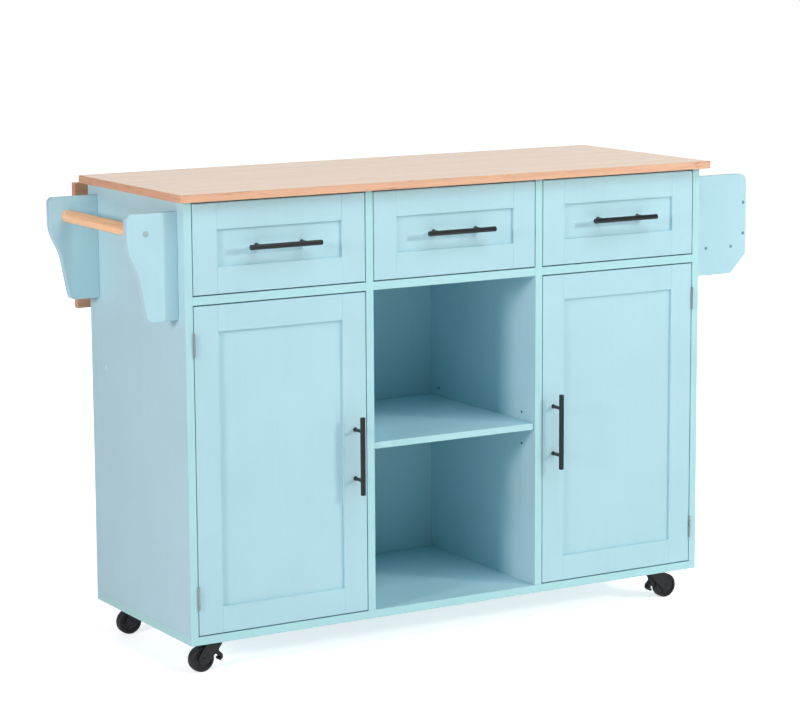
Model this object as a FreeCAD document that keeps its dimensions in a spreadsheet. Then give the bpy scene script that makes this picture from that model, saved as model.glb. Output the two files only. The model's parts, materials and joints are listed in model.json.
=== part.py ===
"""Kitchen island cart on casters, with drop leaf, towel rail and spice rack.

Cabinet coordinates: X to the right, Y to the back, Z up, zero at the middle of
the cabinet's front plane, at the underside of the base board.  Every finished
sub-part is placed by frame_x, frame_y and frame_z, so that the origin lies at
the middle of the whole object's footprint, on the floor.
"""
import FreeCAD, Part
import os
import re
import Sketcher

document = FreeCAD.newDocument("kitchen_island_cart")
sheet = document.addObject("Spreadsheet::Sheet", "Sizes")

# alias, value or formula of the rows above it, in millimetres or degrees
SIZES = [
    ("cabinet_width", "1172"),
    ("cabinet_depth", "424"),
    ("board", "16"),
    ("body_height", "839"),
    ("back_board", "6"),
    ("back_plane", "402"),
    ("worktop_length", "1200"),
    ("worktop_board", "15"),
    ("front_overhang", "21"),
    ("back_overhang", "15"),
    ("partition_offset", "193.5"),
    ("divider_top", "662"),
    ("shelf_board", "13"),
    ("shelf_top", "348"),
    ("shelf_setback", "5"),
    ("shelf_side_play", "1"),
    ("shelf_back_play", "2"),
    ("cupboard_shelf_setback", "26"),
    ("rear_rail_height", "100"),
    ("front_gap", "2"),
    ("door_bottom", "18.5"),
    ("door_top", "643.5"),
    ("drawer_bottom", "664.5"),
    ("drawer_top", "834.5"),
    ("frame_member", "50"),
    ("panel_recess", "5"),
    ("panel_board", "6"),
    ("panel_lap", "8"),
    ("box_wall", "12"),
    ("box_bottom_board", "4"),
    ("box_groove_height", "8"),
    ("box_low", "682"),
    ("box_height", "110"),
    ("box_depth", "350"),
    ("slide_space", "12.5"),
    ("slide_metal", "1.2"),
    ("slide_height", "35"),
    ("slide_play", "1.3"),
    ("slide_start", "4"),
    ("slide_tip_gap", "1"),
    ("bar_radius", "5"),
    ("bar_length", "152"),
    ("bar_stand_off", "30"),
    ("post_radius", "3.5"),
    ("post_spacing", "96"),
    ("hinge_length", "45"),
    ("hinge_inset", "72"),
    ("hinge_leaf", "0.9"),
    ("hinge_leaf_width", "14"),
    ("knuckle_radius", "2"),
    ("hinge_pin_radius", "1"),
    ("running_clearance", "0.05"),
    ("hinge_stand_off", "2.4"),
    ("knuckle_gap", "0.1"),
    ("hinge_neck_gap", "0.6"),
    ("hinge_neck_lap", "0.5"),
    ("catch_inset", "8"),
    ("catch_width", "40"),
    ("catch_height", "13"),
    ("catch_depth", "16"),
    ("catch_gap", "0.3"),
    ("strike_metal", "1.2"),
    ("strike_height", "14"),
    ("strike_drop", "2"),
    ("rack_setback", "26"),
    ("rack_top", "818"),
    ("rack_height", "207"),
    ("rear_rack_setback", "30"),
    ("towel_reach", "102"),
    ("towel_top", "819.5"),
    ("towel_height", "202"),
    ("towel_foot", "62"),
    ("towel_waist", "79"),
    ("rod_radius", "12.5"),
    ("rod_reach", "64"),
    ("rod_drop", "36"),
    ("spice_reach", "141"),
    ("spice_chamfer", "39"),
    ("spice_floor", "660"),
    ("spice_rail", "36"),
    ("spice_rail_gap", "28"),
    ("leaf_depth", "250"),
    ("leaf_gap", "2"),
    ("leaf_axis_drop", "8.5"),
    ("leaf_axis_reach", "8.5"),
    ("bracket_offset", "380"),
    ("bracket_metal", "2"),
    ("bracket_plate_width", "26"),
    ("bracket_plate_foot", "18"),
    ("bracket_plate_drop", "1"),
    ("arm_depth", "14"),
    ("arm_length", "220"),
    ("arm_half_gap", "9"),
    ("arm_rise", "5"),
    ("arm_slot_half", "3"),
    ("arm_slot_start", "95"),
    ("arm_slot_end", "6"),
    ("ear_half_gap", "6"),
    ("ear_radius", "5"),
    ("brace_drop", "70"),
    ("brace_length", "125"),
    ("brace_half_width", "5"),
    ("brace_half_depth", "4"),
    ("brace_stud_reach", "8.4"),
    ("bracket_pin_radius", "2.5"),
    ("arm_pin_tip", "2"),
    ("brace_pin_tip", "0.6"),
    ("caster_height", "66"),
    ("caster_inset", "68"),
    ("caster_setback", "50"),
    ("caster_plate", "50"),
    ("boss_radius", "14"),
    ("kingpin_head_radius", "6"),
    ("kingpin_head_low", "2.5"),
    ("kingpin_head_high", "0.3"),
    ("caster_metal", "2.5"),
    ("caster_trail", "24"),
    ("wheel_radius", "25"),
    ("wheel_width", "18"),
    ("tread_ease", "3"),
    ("rim_width", "6"),
    ("hub_radius", "7"),
    ("hub_recess", "1.5"),
    ("axle_radius", "3"),
    ("axle_tip", "1.5"),
    ("kingpin_radius", "4"),
    ("boss_bottom", "-8.3"),
    ("crown_top", "-8.5"),
    ("crown_bottom", "-12"),
    ("fork_half_gap", "10"),
    ("fork_half_width", "12.5"),
    ("pedal_pivot_reach", "-7"),
    ("pedal_pivot_height", "-19"),
    ("pedal_pin_radius", "2"),
    ("pedal_half_width", "8"),
    ("pin_radius", "2.5"),
    ("pin_row_front", "50"),
    ("pin_row_back", "370"),
    ("pin_pitch", "32"),
    ("pin_hole_depth", "10"),
    ("pin_sunk", "9"),
    ("pin_sunk_partition", "7.5"),
    ("pin_reach", "8"),
    ("past", "1"),
    ("half_width", "cabinet_width / 2"),
    ("inner_half", "half_width - board"),
    ("partition_inner", "partition_offset - board / 2"),
    ("partition_outer", "partition_offset + board / 2"),
    ("divider_bottom", "divider_top - board"),
    ("worktop_back", "cabinet_depth + back_overhang"),
    ("rack_bottom", "rack_top - rack_height"),
    ("towel_bottom", "towel_top - towel_height"),
    ("rack_rear_back", "cabinet_depth - rear_rack_setback"),
    ("rack_rear_front", "rack_rear_back - board"),
    ("rack_front_back", "rack_setback + board"),
    ("leaf_axis_y", "worktop_back + leaf_axis_reach"),
    ("leaf_axis_z", "body_height - leaf_axis_drop"),
    ("leaf_face", "leaf_axis_y + leaf_axis_drop"),
    ("leaf_top", "leaf_axis_z + leaf_axis_reach - leaf_gap"),
    ("brace_axis_z", "leaf_axis_z - brace_drop"),
    ("arm_back", "leaf_face - arm_depth"),
    ("door_thickness", "board"),
    ("axle_height", "wheel_radius - caster_height"),
    ("outer_back", "leaf_face + worktop_board"),
    ("outer_front", "-(bar_stand_off + bar_radius)"),
    ("frame_x", "(towel_reach - spice_reach) / 2"),
    ("frame_y", "-(outer_back + outer_front) / 2"),
    ("frame_z", "caster_height"),
]

for row, (alias, content) in enumerate(SIZES, start=1):
    is_formula = any(letter.isalpha() for letter in content)
    sheet.set("A%d" % row, alias)
    sheet.set("B%d" % row, "=" + content if is_formula else content)
    sheet.setAlias("B%d" % row, alias)
    document.recompute()

NODES = {}


def formula(text):
    """Point every size's name in a formula at the sheet."""
    return re.sub(r"[a-z][a-z_0-9]*", lambda found: "Sizes." + found.group(0), str(text))


def number(text):
    """The value of a formula, for geometry that needs a starting value."""
    names = set(re.findall(r"[a-z][a-z_0-9]*", str(text)))
    expression = str(text)
    for name in sorted(names, key=len, reverse=True):
        expression = re.sub(r"\b%s\b" % name, "(%r)" % float(sheet.get(name)), expression)
    return float(FreeCAD.Units.Quantity(expression).Value)


def bind(item, **formulas):
    """Bind properties of an object to formulas of the sheet."""
    for name, text in formulas.items():
        item.setExpression(name, formula(text))
    return item


def place(item, x="0", y="0", z="0", turn=None):
    """Bind an object's place, with an optional (axis, angle) turn."""
    if turn is not None:
        axis, angle = turn
        item.Placement = FreeCAD.Placement(FreeCAD.Vector(), FreeCAD.Rotation(FreeCAD.Vector(*axis), angle))
    for letter, text in zip("xyz", (x, y, z)):
        item.setExpression("Placement.Base." + letter, formula(text))
    return item


def finish(item, label, x="0", y="0", z="0", turn=None):
    """Name a sub-part, shift it into the row's frame and keep it for export."""
    item.Label = label
    place(item, "frame_x + (%s)" % x, "frame_y + (%s)" % y, "frame_z + (%s)" % z, turn)
    NODES[label] = item
    return item


def block(x, y, z, name="block"):
    """A box between pairs of formulas: x, y and z are (low, high)."""
    box = document.addObject("Part::Box", name)
    spans = [("Length", x), ("Width", y), ("Height", z)]
    for side, (low, high) in spans:
        box.setExpression(side, formula("(%s) - (%s)" % (high, low)))
    return place(box, x[0], y[0], z[0])


AXIS_TURNS = {"X": ((0, 1, 0), 90), "Y": ((1, 0, 0), -90), "Z": ((0, 0, 1), 0)}


def rod(radius, low, high, x="0", y="0", z="0", axis="Z", name="rod"):
    """A round bar along an axis, from low to high on that axis."""
    bar = document.addObject("Part::Cylinder", name)
    bind(bar, Radius=radius, Height="(%s) - (%s)" % (high, low))
    start = {"X": x, "Y": y, "Z": z}
    start[axis] = low
    return place(bar, start["X"], start["Y"], start["Z"], AXIS_TURNS[axis])


def fuse(shapes, name="joined"):
    result = document.addObject("Part::MultiFuse", name)
    result.Shapes = shapes
    return result


def group(shapes, name="group"):
    """Separate solids that share one node."""
    result = document.addObject("Part::Compound", name)
    result.Links = shapes
    return result


def cut(base, tools, name="cut"):
    result = document.addObject("Part::Cut", name)
    result.Base = base
    result.Tool = tools[0] if len(tools) == 1 else group(tools, "tools")
    return result


def board(label, x, y, z):
    """A plain board as a finished sub-part."""
    box = block(x, y, z, label)
    return finish(box, label, x[0], y[0], z[0])


def mirrored(span, side):
    """A span on the left is the right one with both ends negated and swapped."""
    low, high = span
    if side > 0:
        return (low, high)
    return ("-(%s)" % high, "-(%s)" % low)


# ---------------------------------------------------------------- sketches

def origin_plane(body, role):
    return next(plane for plane in body.Origin.OriginFeatures if plane.Role == role)


def new_sketch(body, role, name):
    sketch = body.newObject("Sketcher::SketchObject", name)
    sketch.AttachmentSupport = (origin_plane(body, role), [""])
    sketch.MapMode = "FlatFace"
    return sketch


def hold(sketch, kind, element, end, text):
    """Tie one coordinate of a point to a formula of the sheet."""
    value = number(text)
    if abs(value) < 1e-9:
        axis_line = -2 if kind == "DistanceX" else -1
        sketch.addConstraint(Sketcher.Constraint("PointOnObject", element, end, axis_line))
        return
    index = sketch.addConstraint(Sketcher.Constraint(kind, -1, 1, element, end, value))
    sketch.setExpression("Constraints[%d]" % index, formula(text))


def polygon_sketch(body, role, corners, name):
    """A closed outline whose corners are pairs of formulas."""
    sketch = new_sketch(body, role, name)
    points = [FreeCAD.Vector(number(across), number(up), 0) for across, up in corners]
    count = len(points)
    for index in range(count):
        sketch.addGeometry(Part.LineSegment(points[index], points[(index + 1) % count]))
    for index in range(count):
        sketch.addConstraint(Sketcher.Constraint("Coincident", index, 2, (index + 1) % count, 1))
    for index, (across, up) in enumerate(corners):
        hold(sketch, "DistanceX", index, 1, across)
        hold(sketch, "DistanceY", index, 1, up)
    return sketch


def circle_sketch(body, role, circles, name):
    """Circles, each (across, up, radius) in formulas."""
    sketch = new_sketch(body, role, name)
    for index, (across, up, radius) in enumerate(circles):
        centre = FreeCAD.Vector(number(across), number(up), 0)
        sketch.addGeometry(Part.Circle(centre, FreeCAD.Vector(0, 0, 1), number(radius)))
        hold(sketch, "DistanceX", index, 3, across)
        hold(sketch, "DistanceY", index, 3, up)
        size = sketch.addConstraint(Sketcher.Constraint("Radius", index, number(radius)))
        sketch.setExpression("Constraints[%d]" % size, formula(radius))
    return sketch


def pad(body, sketch, length, midplane=False, reverse=False):
    feature = body.newObject("PartDesign::Pad", sketch.Name + "_pad")
    feature.Profile = sketch
    feature.Midplane = midplane
    feature.Reversed = reverse
    bind(feature, Length=length)
    document.recompute()
    return feature


def pocket(body, sketch, length, midplane=False, reverse=False):
    before = body.Shape.Volume
    feature = body.newObject("PartDesign::Pocket", sketch.Name + "_pocket")
    feature.Profile = sketch
    feature.Midplane = midplane
    feature.Reversed = reverse
    bind(feature, Length=length)
    document.recompute()
    if body.Shape.Volume >= before:
        raise RuntimeError("%s cuts nothing" % feature.Name)
    return feature


def round_corners(body, radii):
    """Round the edges that cross the outline plane, by corner: ((x, z), radius)."""
    for corner, radius in radii:
        x, z = (number(value) for value in corner)
        names = []
        base = body.Tip
        for index, edge in enumerate(base.Shape.Edges, start=1):
            ends = [vertex.Point for vertex in edge.Vertexes]
            if all(abs(end.x - x) < 0.01 and abs(end.z - z) < 0.01 for end in ends):
                names.append("Edge%d" % index)
        feature = body.newObject("PartDesign::Fillet", body.Name + "_round")
        feature.Base = (base, names)
        feature.Radius = radius
        document.recompute()


def new_body(name):
    return document.addObject("PartDesign::Body", name)


# ----------------------------------------------------------------- cabinet

def cabinet():
    half_top = "worktop_length / 2"
    board("worktop", ("-" + half_top, half_top), ("-front_overhang", "worktop_back"),
          ("body_height", "body_height + worktop_board"))
    board("base_board", ("-half_width", "half_width"), ("0", "cabinet_depth"), ("0", "board"))
    board("back_panel", ("-inner_half", "inner_half"), ("back_plane", "back_plane + back_board"),
          ("board", "body_height"))
    board("rear_rail", ("-inner_half", "inner_half"), ("back_plane + back_board", "cabinet_depth"),
          ("body_height - rear_rail_height", "body_height"))
    pin_heights = ["shelf_top - shelf_board - pin_radius + (%d) * pin_pitch" % step for step in (-1, 0, 1)]
    pin_rows = ("pin_row_front", "pin_row_back")
    for side, word in ((-1, "left"), (1, "right")):
        panel = block(mirrored(("inner_half", "half_width"), side), ("0", "cabinet_depth"),
                      ("board", "body_height"))
        depth = mirrored(("inner_half - past", "inner_half + pin_hole_depth"), side)
        holes = [rod("pin_radius", depth[0], depth[1], y=row, z=level, axis="X")
                 for row in pin_rows for level in pin_heights]
        finish(cut(panel, holes, "panel"), "side_panel_" + word)
        partition = block(mirrored(("partition_inner", "partition_outer"), side), ("0", "back_plane"),
                          ("board", "body_height"))
        through = mirrored(("partition_inner - past", "partition_outer + past"), side)
        holes = [rod("pin_radius", through[0], through[1], y=row, z=level, axis="X")
                 for row in pin_rows for level in pin_heights]
        finish(cut(partition, holes, "partition"), "partition_" + word)
    bays = [("-inner_half", "-partition_outer"), ("-partition_inner", "partition_inner"),
            ("partition_outer", "inner_half")]
    dividers = [block(bay, ("0", "back_plane"), ("divider_bottom", "divider_top")) for bay in bays]
    finish(group(dividers), "drawer_dividers")


def shelves():
    low = "shelf_top - shelf_board"
    board("shelf_middle", ("-partition_inner + shelf_side_play", "partition_inner - shelf_side_play"),
          ("shelf_setback", "back_plane - shelf_back_play"), (low, "shelf_top"))
    bay = ("partition_outer + shelf_side_play", "inner_half - shelf_side_play")
    depth = ("cupboard_shelf_setback", "back_plane - shelf_back_play")
    cupboard = [block(mirrored(bay, side), depth, (low, "shelf_top")) for side in (-1, 1)]
    finish(group(cupboard), "cupboard_shelves")
    walls = [("inner_half + pin_sunk", "inner_half - pin_reach"),
             ("partition_outer - pin_sunk_partition", "partition_outer + pin_reach"),
             ("partition_inner + pin_sunk_partition", "partition_inner - pin_reach")]
    pins = []
    for side in (-1, 1):
        for deep, free in walls:
            low_end, high_end = mirrored(ordered(deep, free), side)
            for row in ("pin_row_front", "pin_row_back"):
                pins.append(rod("pin_radius", low_end, high_end, y=row,
                                z="shelf_top - shelf_board - pin_radius", axis="X"))
    finish(group(pins), "shelf_pins")


# ------------------------------------------------------------ drawers, doors

def frame_front(span, low, high, with_panel):
    """Two full-height stiles and two rails, rebated at the back for a thin panel."""
    left, right = span
    stiles = [(left, "(%s) + frame_member" % left), ("(%s) - frame_member" % right, right)]
    depth = ("0", "door_thickness")
    rebate_depth = ("panel_recess", "door_thickness + past")
    solids = []
    for index, stile in enumerate(stiles):
        lap = ("(%s) - panel_lap" % stile[1], "(%s) + past" % stile[1])
        if index == 1:
            lap = ("(%s) - past" % stile[0], "(%s) + panel_lap" % stile[0])
        rebate = block(lap, rebate_depth, ("(%s) + frame_member - panel_lap" % low,
                                           "(%s) - frame_member + panel_lap" % high))
        solids.append(cut(block(stile, depth, (low, high)), [rebate]))
    rail_span = (stiles[0][1], stiles[1][0])
    rails = [(low, "(%s) + frame_member" % low), ("(%s) - frame_member" % high, high)]
    for index, rail in enumerate(rails):
        lap = ("(%s) - panel_lap" % rail[1], "(%s) + past" % rail[1])
        if index == 1:
            lap = ("(%s) - past" % rail[0], "(%s) + panel_lap" % rail[0])
        rebate = block(("(%s) - past" % rail_span[0], "(%s) + past" % rail_span[1]), rebate_depth, lap)
        solids.append(cut(block(rail_span, depth, rail), [rebate]))
    panel = block(("(%s) - panel_lap" % rail_span[0], "(%s) + panel_lap" % rail_span[1]),
                  ("panel_recess", "panel_recess + panel_board"),
                  ("(%s) - panel_lap" % rails[0][1], "(%s) + panel_lap" % rails[1][0]))
    if with_panel:
        return group(solids + [panel]), None
    return group(solids), panel


def bar_handle(label, x, z, foot, axis):
    """A round bar on two posts; foot is the y of the face that it stands on."""
    centre = {"X": x, "Z": z}[axis]
    bar_y = "(%s) - bar_stand_off" % foot
    bar = rod("bar_radius", "(%s) - bar_length / 2" % centre, "(%s) + bar_length / 2" % centre,
              x=x, y=bar_y, z=z, axis=axis)
    posts = []
    for sign in ("-", "+"):
        spot = {"X": x, "Z": z}
        spot[axis] = "(%s) %s post_spacing / 2" % (centre, sign)
        posts.append(rod("post_radius", bar_y, foot, x=spot["X"], z=spot["Z"], axis="Y"))
    finish(fuse([bar] + posts), label)


def drawer(word, bay_low, bay_high):
    front = ("(%s) + front_gap" % bay_low, "(%s) - front_gap" % bay_high)
    face, _ = frame_front(front, "drawer_bottom", "drawer_top", True)
    finish(face, "drawer_%s_front" % word)
    left, right = "(%s) + slide_space" % bay_low, "(%s) - slide_space" % bay_high
    near, far = "door_thickness", "door_thickness + box_depth"
    tall = ("box_low", "box_low + box_height")
    inner = ("(%s) + box_wall" % left, "(%s) - box_wall" % right)
    walls = [block((left, inner[0]), (near, far), tall),
             block((inner[1], right), (near, far), tall),
             block(inner, (near, "(%s) + box_wall" % near), tall),
             block(inner, ("(%s) - box_wall" % far, far), tall),
             block(inner, ("(%s) + box_wall" % near, "(%s) - box_wall" % far),
                   ("box_low + box_groove_height", "box_low + box_groove_height + box_bottom_board"))]
    finish(group(walls), "drawer_%s_box" % word)
    middle = "((%s) + (%s)) / 2" % (bay_low, bay_high)
    bar_handle("drawer_%s_handle" % word, middle, "(drawer_bottom + drawer_top) / 2", "panel_recess", "X")
    fixed, moving = [], []
    for wall, direction in ((bay_low, 1), (bay_high, -1)):
        fixed.append(channel(wall, direction, "0", "slide_height / 2"))
        moving.append(channel("(%s) + (%d) * slide_space" % (wall, direction), -direction,
                              "slide_play", "slide_height / 2 - slide_metal - slide_play"))
    finish(group(moving), "drawer_%s_slides" % word)
    return fixed


def channel(wall, direction, play, half_height):
    """One C-section of a drawer slide: web on the wall, two flanges towards the other half."""
    level = "box_low + box_height / 2"
    web = ordered(wall, "(%s) + (%d) * slide_metal" % (wall, direction))
    reach = "slide_space - slide_metal - slide_tip_gap - (%s)" % play
    flange = ordered(wall, "(%s) + (%d) * (%s)" % (wall, direction, reach))
    run = ("door_thickness + slide_start", "door_thickness + box_depth")
    pieces = [block(web, run, ("%s - (%s)" % (level, half_height), "%s + (%s)" % (level, half_height)))]
    for sign in ("-", "+"):
        edge = "%s %s (%s)" % (level, sign, half_height)
        inner = "%s %s ((%s) - slide_metal)" % (level, sign, half_height)
        pieces.append(block(flange, run, ordered(edge, inner)))
    return fuse(pieces)


def ordered(first, second):
    return (first, second) if number(first) < number(second) else (second, first)


def knuckles(x, y, low, radius, segments):
    """Barrel segments of a butt hinge: segments are their numbers, of five."""
    pieces = []
    for index in segments:
        bottom = "(%s) + hinge_length * %d / 5 + knuckle_gap" % (low, index)
        top = "(%s) + hinge_length * %d / 5 - knuckle_gap" % (low, index + 1)
        pieces.append((bottom, top, rod(radius, bottom, top, x=x, y=y)))
    return pieces


def hinge_leaf(x_span, axis_x, low, segments, bore):
    """One leaf: a plate in the gap, necks to its own barrel segments, and the barrel bored."""
    axis_y = "-hinge_stand_off"
    plate = block(x_span, ("0", "hinge_leaf_width"), (low, "(%s) + hinge_length" % low))
    pieces = [plate]
    for bottom, top, barrel in knuckles(axis_x, axis_y, low, "knuckle_radius", segments):
        pieces.append(barrel)
        neck = ("-hinge_stand_off + hinge_pin_radius + hinge_neck_gap", "hinge_neck_lap")
        pieces.append(block(x_span, neck, (bottom, top)))
    whole = fuse(pieces)
    drill = rod(bore, "(%s) - past" % low, "(%s) + hinge_length + past" % low, x=axis_x, y=axis_y)
    return cut(whole, [drill])


def door(word, side):
    span = mirrored(("partition_outer + front_gap", "inner_half - front_gap"), side)
    frame, panel = frame_front(span, "door_bottom", "door_top", False)
    finish(frame, "door_%s_frame" % word)
    finish(group([panel]), "door_%s_panel" % word)
    handle_x = "(%d) * (partition_outer + front_gap + frame_member / 2)" % side
    bar_handle("door_%s_handle" % word, handle_x, "(door_bottom + door_top) / 2", "0", "Z")
    axis_x = "(%d) * (inner_half - front_gap / 2)" % side
    fixed, moving = [], []
    for low in ("door_bottom + hinge_inset - hinge_length / 2", "door_top - hinge_inset - hinge_length / 2"):
        cabinet_side = mirrored(("inner_half - hinge_leaf", "inner_half"), side)
        door_side = mirrored(("inner_half - front_gap", "inner_half - front_gap + hinge_leaf"), side)
        fixed.append(hinge_leaf(cabinet_side, axis_x, low, (0, 2, 4), "hinge_pin_radius"))
        fixed.append(rod("hinge_pin_radius", "(%s) + knuckle_gap" % low,
                         "(%s) + hinge_length - knuckle_gap" % low, x=axis_x, y="-hinge_stand_off"))
        moving.append(hinge_leaf(door_side, axis_x, low, (1, 3), "hinge_pin_radius + running_clearance"))
    catch_x = mirrored(("partition_outer + catch_inset", "partition_outer + catch_inset + catch_width"), side)
    strike = block(catch_x, ("door_thickness", "door_thickness + strike_metal"),
                   ("door_top - strike_drop - strike_height", "door_top - strike_drop"))
    finish(group(moving + [strike]), "door_%s_fittings" % word)
    catch_front = "door_thickness + strike_metal + catch_gap"
    catch = block(catch_x, (catch_front, catch_front + " + catch_depth"),
                  ("divider_bottom - catch_height", "divider_bottom"))
    return fixed, catch


def fronts():
    fixed_slides = []
    for word, low, high in (("left", "-inner_half", "-partition_outer"),
                            ("middle", "-partition_inner", "partition_inner"),
                            ("right", "partition_outer", "inner_half")):
        fixed_slides += drawer(word, low, high)
    finish(group(fixed_slides), "drawer_runners")
    hinges, catches = [], []
    for word, side in (("left", -1), ("right", 1)):
        fixed, catch = door(word, side)
        hinges += fixed
        catches.append(catch)
    finish(group(hinges), "hinge_cabinet_leaves")
    finish(group(catches), "door_catches")


# ------------------------------------------------- towel rail and spice rack

def outline_board(label, corners, radii, x, y, z, mirror):
    """A board cut to an outline in the XZ plane, front face at y, lower edge at z."""
    body = new_body(label)
    signed = [("(%d) * (%s)" % (mirror, across), up) for across, up in corners]
    sketch = polygon_sketch(body, "XZ_Plane", signed, label + "_outline")
    pad(body, sketch, "board", reverse=True)
    round_corners(body, [(("(%d) * (%s)" % (mirror, across), up), radius)
                         for (across, up), radius in radii])
    finish(body, label, x, y, z)


def towel_rail():
    """Two curved brackets and the round rod between them."""
    corners = [("0", "0"), ("towel_foot", "0"), ("towel_waist", "87.5"), ("towel_reach", "137.5"),
               ("towel_reach", "towel_height"), ("0", "towel_height")]
    radii = [(corners[1], 12), (corners[2], 90), (corners[3], 80), (corners[4], 11)]
    for word, y in (("front", "rack_setback"), ("rear", "rack_rear_front")):
        outline_board("towel_bracket_" + word, corners, radii, "-half_width", y, "towel_bottom", -1)
    rail = rod("rod_radius", "rack_front_back", "rack_rear_front", axis="Y")
    finish(rail, "towel_rod", "-(half_width + rod_reach)", "rack_front_back", "rack_top - rod_drop",
           AXIS_TURNS["Y"])


def spice_rack():
    """Two end boards, a bottom board and two rails along the outer edge."""
    corners = [("0", "0"), ("spice_reach - spice_chamfer", "0"), ("spice_reach", "spice_chamfer"),
               ("spice_reach", "rack_height"), ("0", "rack_height")]
    radii = [(corners[1], 9), (corners[2], 9), (corners[3], 18)]
    for word, y in (("front", "rack_setback"), ("rear", "rack_rear_front")):
        outline_board("spice_end_" + word, corners, radii, "half_width", y, "rack_bottom", 1)
    run = ("rack_front_back", "rack_rear_front")
    board("spice_bottom", ("half_width", "half_width + spice_reach"), run,
          ("spice_floor", "spice_floor + board"))
    rail_x = ("half_width + spice_reach - board", "half_width + spice_reach")
    first = "spice_floor + board"
    second = "spice_floor + board + spice_rail + spice_rail_gap"
    rails = [block(rail_x, run, (low, "%s + spice_rail" % low)) for low in (first, second)]
    finish(group(rails), "spice_rails")


# ------------------------------------------------------------------ drop leaf

def drop_leaf():
    """The leaf hangs at rest; two folding brackets carry it on the cabinet's back."""
    board("drop_leaf", ("-worktop_length / 2", "worktop_length / 2"),
          ("leaf_face", "leaf_face + worktop_board"), ("leaf_top - leaf_depth", "leaf_top"))
    plates, pins, arms = [], [], []
    for side in (-1, 1):
        centre = "(%d) * bracket_offset" % side
        plates.append(wall_plate(centre))
        for level, reach in (("leaf_axis_z", "arm_half_gap + bracket_metal + arm_pin_tip"),
                             ("brace_axis_z", "ear_half_gap + bracket_metal + brace_pin_tip")):
            pins.append(rod("bracket_pin_radius", "%s - (%s)" % (centre, reach), "%s + %s" % (centre, reach),
                            y="leaf_axis_y", z=level, axis="X"))
        arms.append(arm(centre))
    finish(group(plates), "leaf_bracket_plates")
    finish(group(pins), "leaf_bracket_pins")
    finish(group(arms), "leaf_arms")
    for side, word in ((-1, "left"), (1, "right")):
        finish(brace("(%d) * bracket_offset" % side), "leaf_brace_" + word)


def wall_plate(centre):
    """A plate on the back with two pairs of ears, for the arm and for the brace."""
    back = "cabinet_depth"
    half = "bracket_plate_width / 2"
    pieces = [block(("%s - %s" % (centre, half), "%s + %s" % (centre, half)),
                    (back, back + " + bracket_metal"),
                    ("brace_axis_z - bracket_plate_foot", "body_height - bracket_plate_drop"))]
    holes = []
    for level in ("leaf_axis_z", "brace_axis_z"):
        for sign in (-1, 1):
            x = ordered("%s + (%d) * ear_half_gap" % (centre, sign),
                        "%s + (%d) * (ear_half_gap + bracket_metal)" % (centre, sign))
            pieces.append(block(x, (back, "leaf_axis_y"), (level + " - ear_radius", level + " + ear_radius")))
            pieces.append(rod("ear_radius", x[0], x[1], y="leaf_axis_y", z=level, axis="X"))
        holes.append(rod("bracket_pin_radius", "%s - %s" % (centre, half), "%s + %s" % (centre, half),
                         y="leaf_axis_y", z=level, axis="X"))
    return cut(fuse(pieces), holes)


def arm(centre):
    """A channel on the leaf's underside, with a long slot for the brace in each web."""
    outer = "arm_half_gap + bracket_metal"
    top = "leaf_axis_z + arm_rise"
    low = "leaf_axis_z + arm_rise - arm_length"
    pieces = [block(("%s - (%s)" % (centre, outer), "%s + (%s)" % (centre, outer)),
                    ("leaf_face - bracket_metal", "leaf_face"), (low, top))]
    for sign in (-1, 1):
        web = ordered("%s + (%d) * arm_half_gap" % (centre, sign),
                      "%s + (%d) * (%s)" % (centre, sign, outer))
        pieces.append(block(web, ("arm_back", "leaf_face"), (low, top)))
    wide = ("%s - (%s + past)" % (centre, outer), "%s + %s + past" % (centre, outer))
    bore = rod("bracket_pin_radius + running_clearance", wide[0], wide[1], y="leaf_axis_y", z="leaf_axis_z",
               axis="X")
    slot = block(wide, ("leaf_axis_y - arm_slot_half", "leaf_axis_y + arm_slot_half"),
                 ("brace_axis_z - brace_length - arm_slot_end", "leaf_axis_z - arm_slot_start"))
    return cut(fuse(pieces), [bore, slot])


def brace(centre):
    """A flat link from the lower ears, lying folded inside the arm's channel."""
    x = ("%s - brace_half_width" % centre, "%s + brace_half_width" % centre)
    low = "brace_axis_z - brace_length"
    pieces = [block(x, ("leaf_axis_y - brace_half_depth", "leaf_axis_y + brace_half_depth"),
                    (low, "brace_axis_z"))]
    for level in (low, "brace_axis_z"):
        pieces.append(rod("ear_radius", x[0], x[1], y="leaf_axis_y", z=level, axis="X"))
    stud = ("%s - brace_stud_reach" % centre, "%s + brace_stud_reach" % centre)
    pieces.append(rod("bracket_pin_radius", stud[0], stud[1], y="leaf_axis_y", z=low, axis="X"))
    bore = rod("bracket_pin_radius + running_clearance", stud[0], stud[1], y="leaf_axis_y",
               z="brace_axis_z", axis="X")
    return cut(fuse(pieces), [bore])


# -------------------------------------------------------------------- casters

FORK_OUTLINE = [("-16", "crown_top"), ("-16", "-14"), ("-6", "-28"), ("15", "-49"), ("32", "-49"),
                ("35", "-41"), ("31", "-30"), ("17", "crown_bottom"), ("17", "crown_top")]
PEDAL_OUTLINE = [("-11", "-16"), ("-11", "-28"), ("-19", "-36"), ("-19.5", "-43"), ("-15", "-48"),
                 ("-11", "-47.5"), ("-11.5", "-43.5"), ("-14.5", "-42.5"), ("-14", "-38.5"),
                 ("-3", "-34"), ("-3", "-16")]


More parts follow.
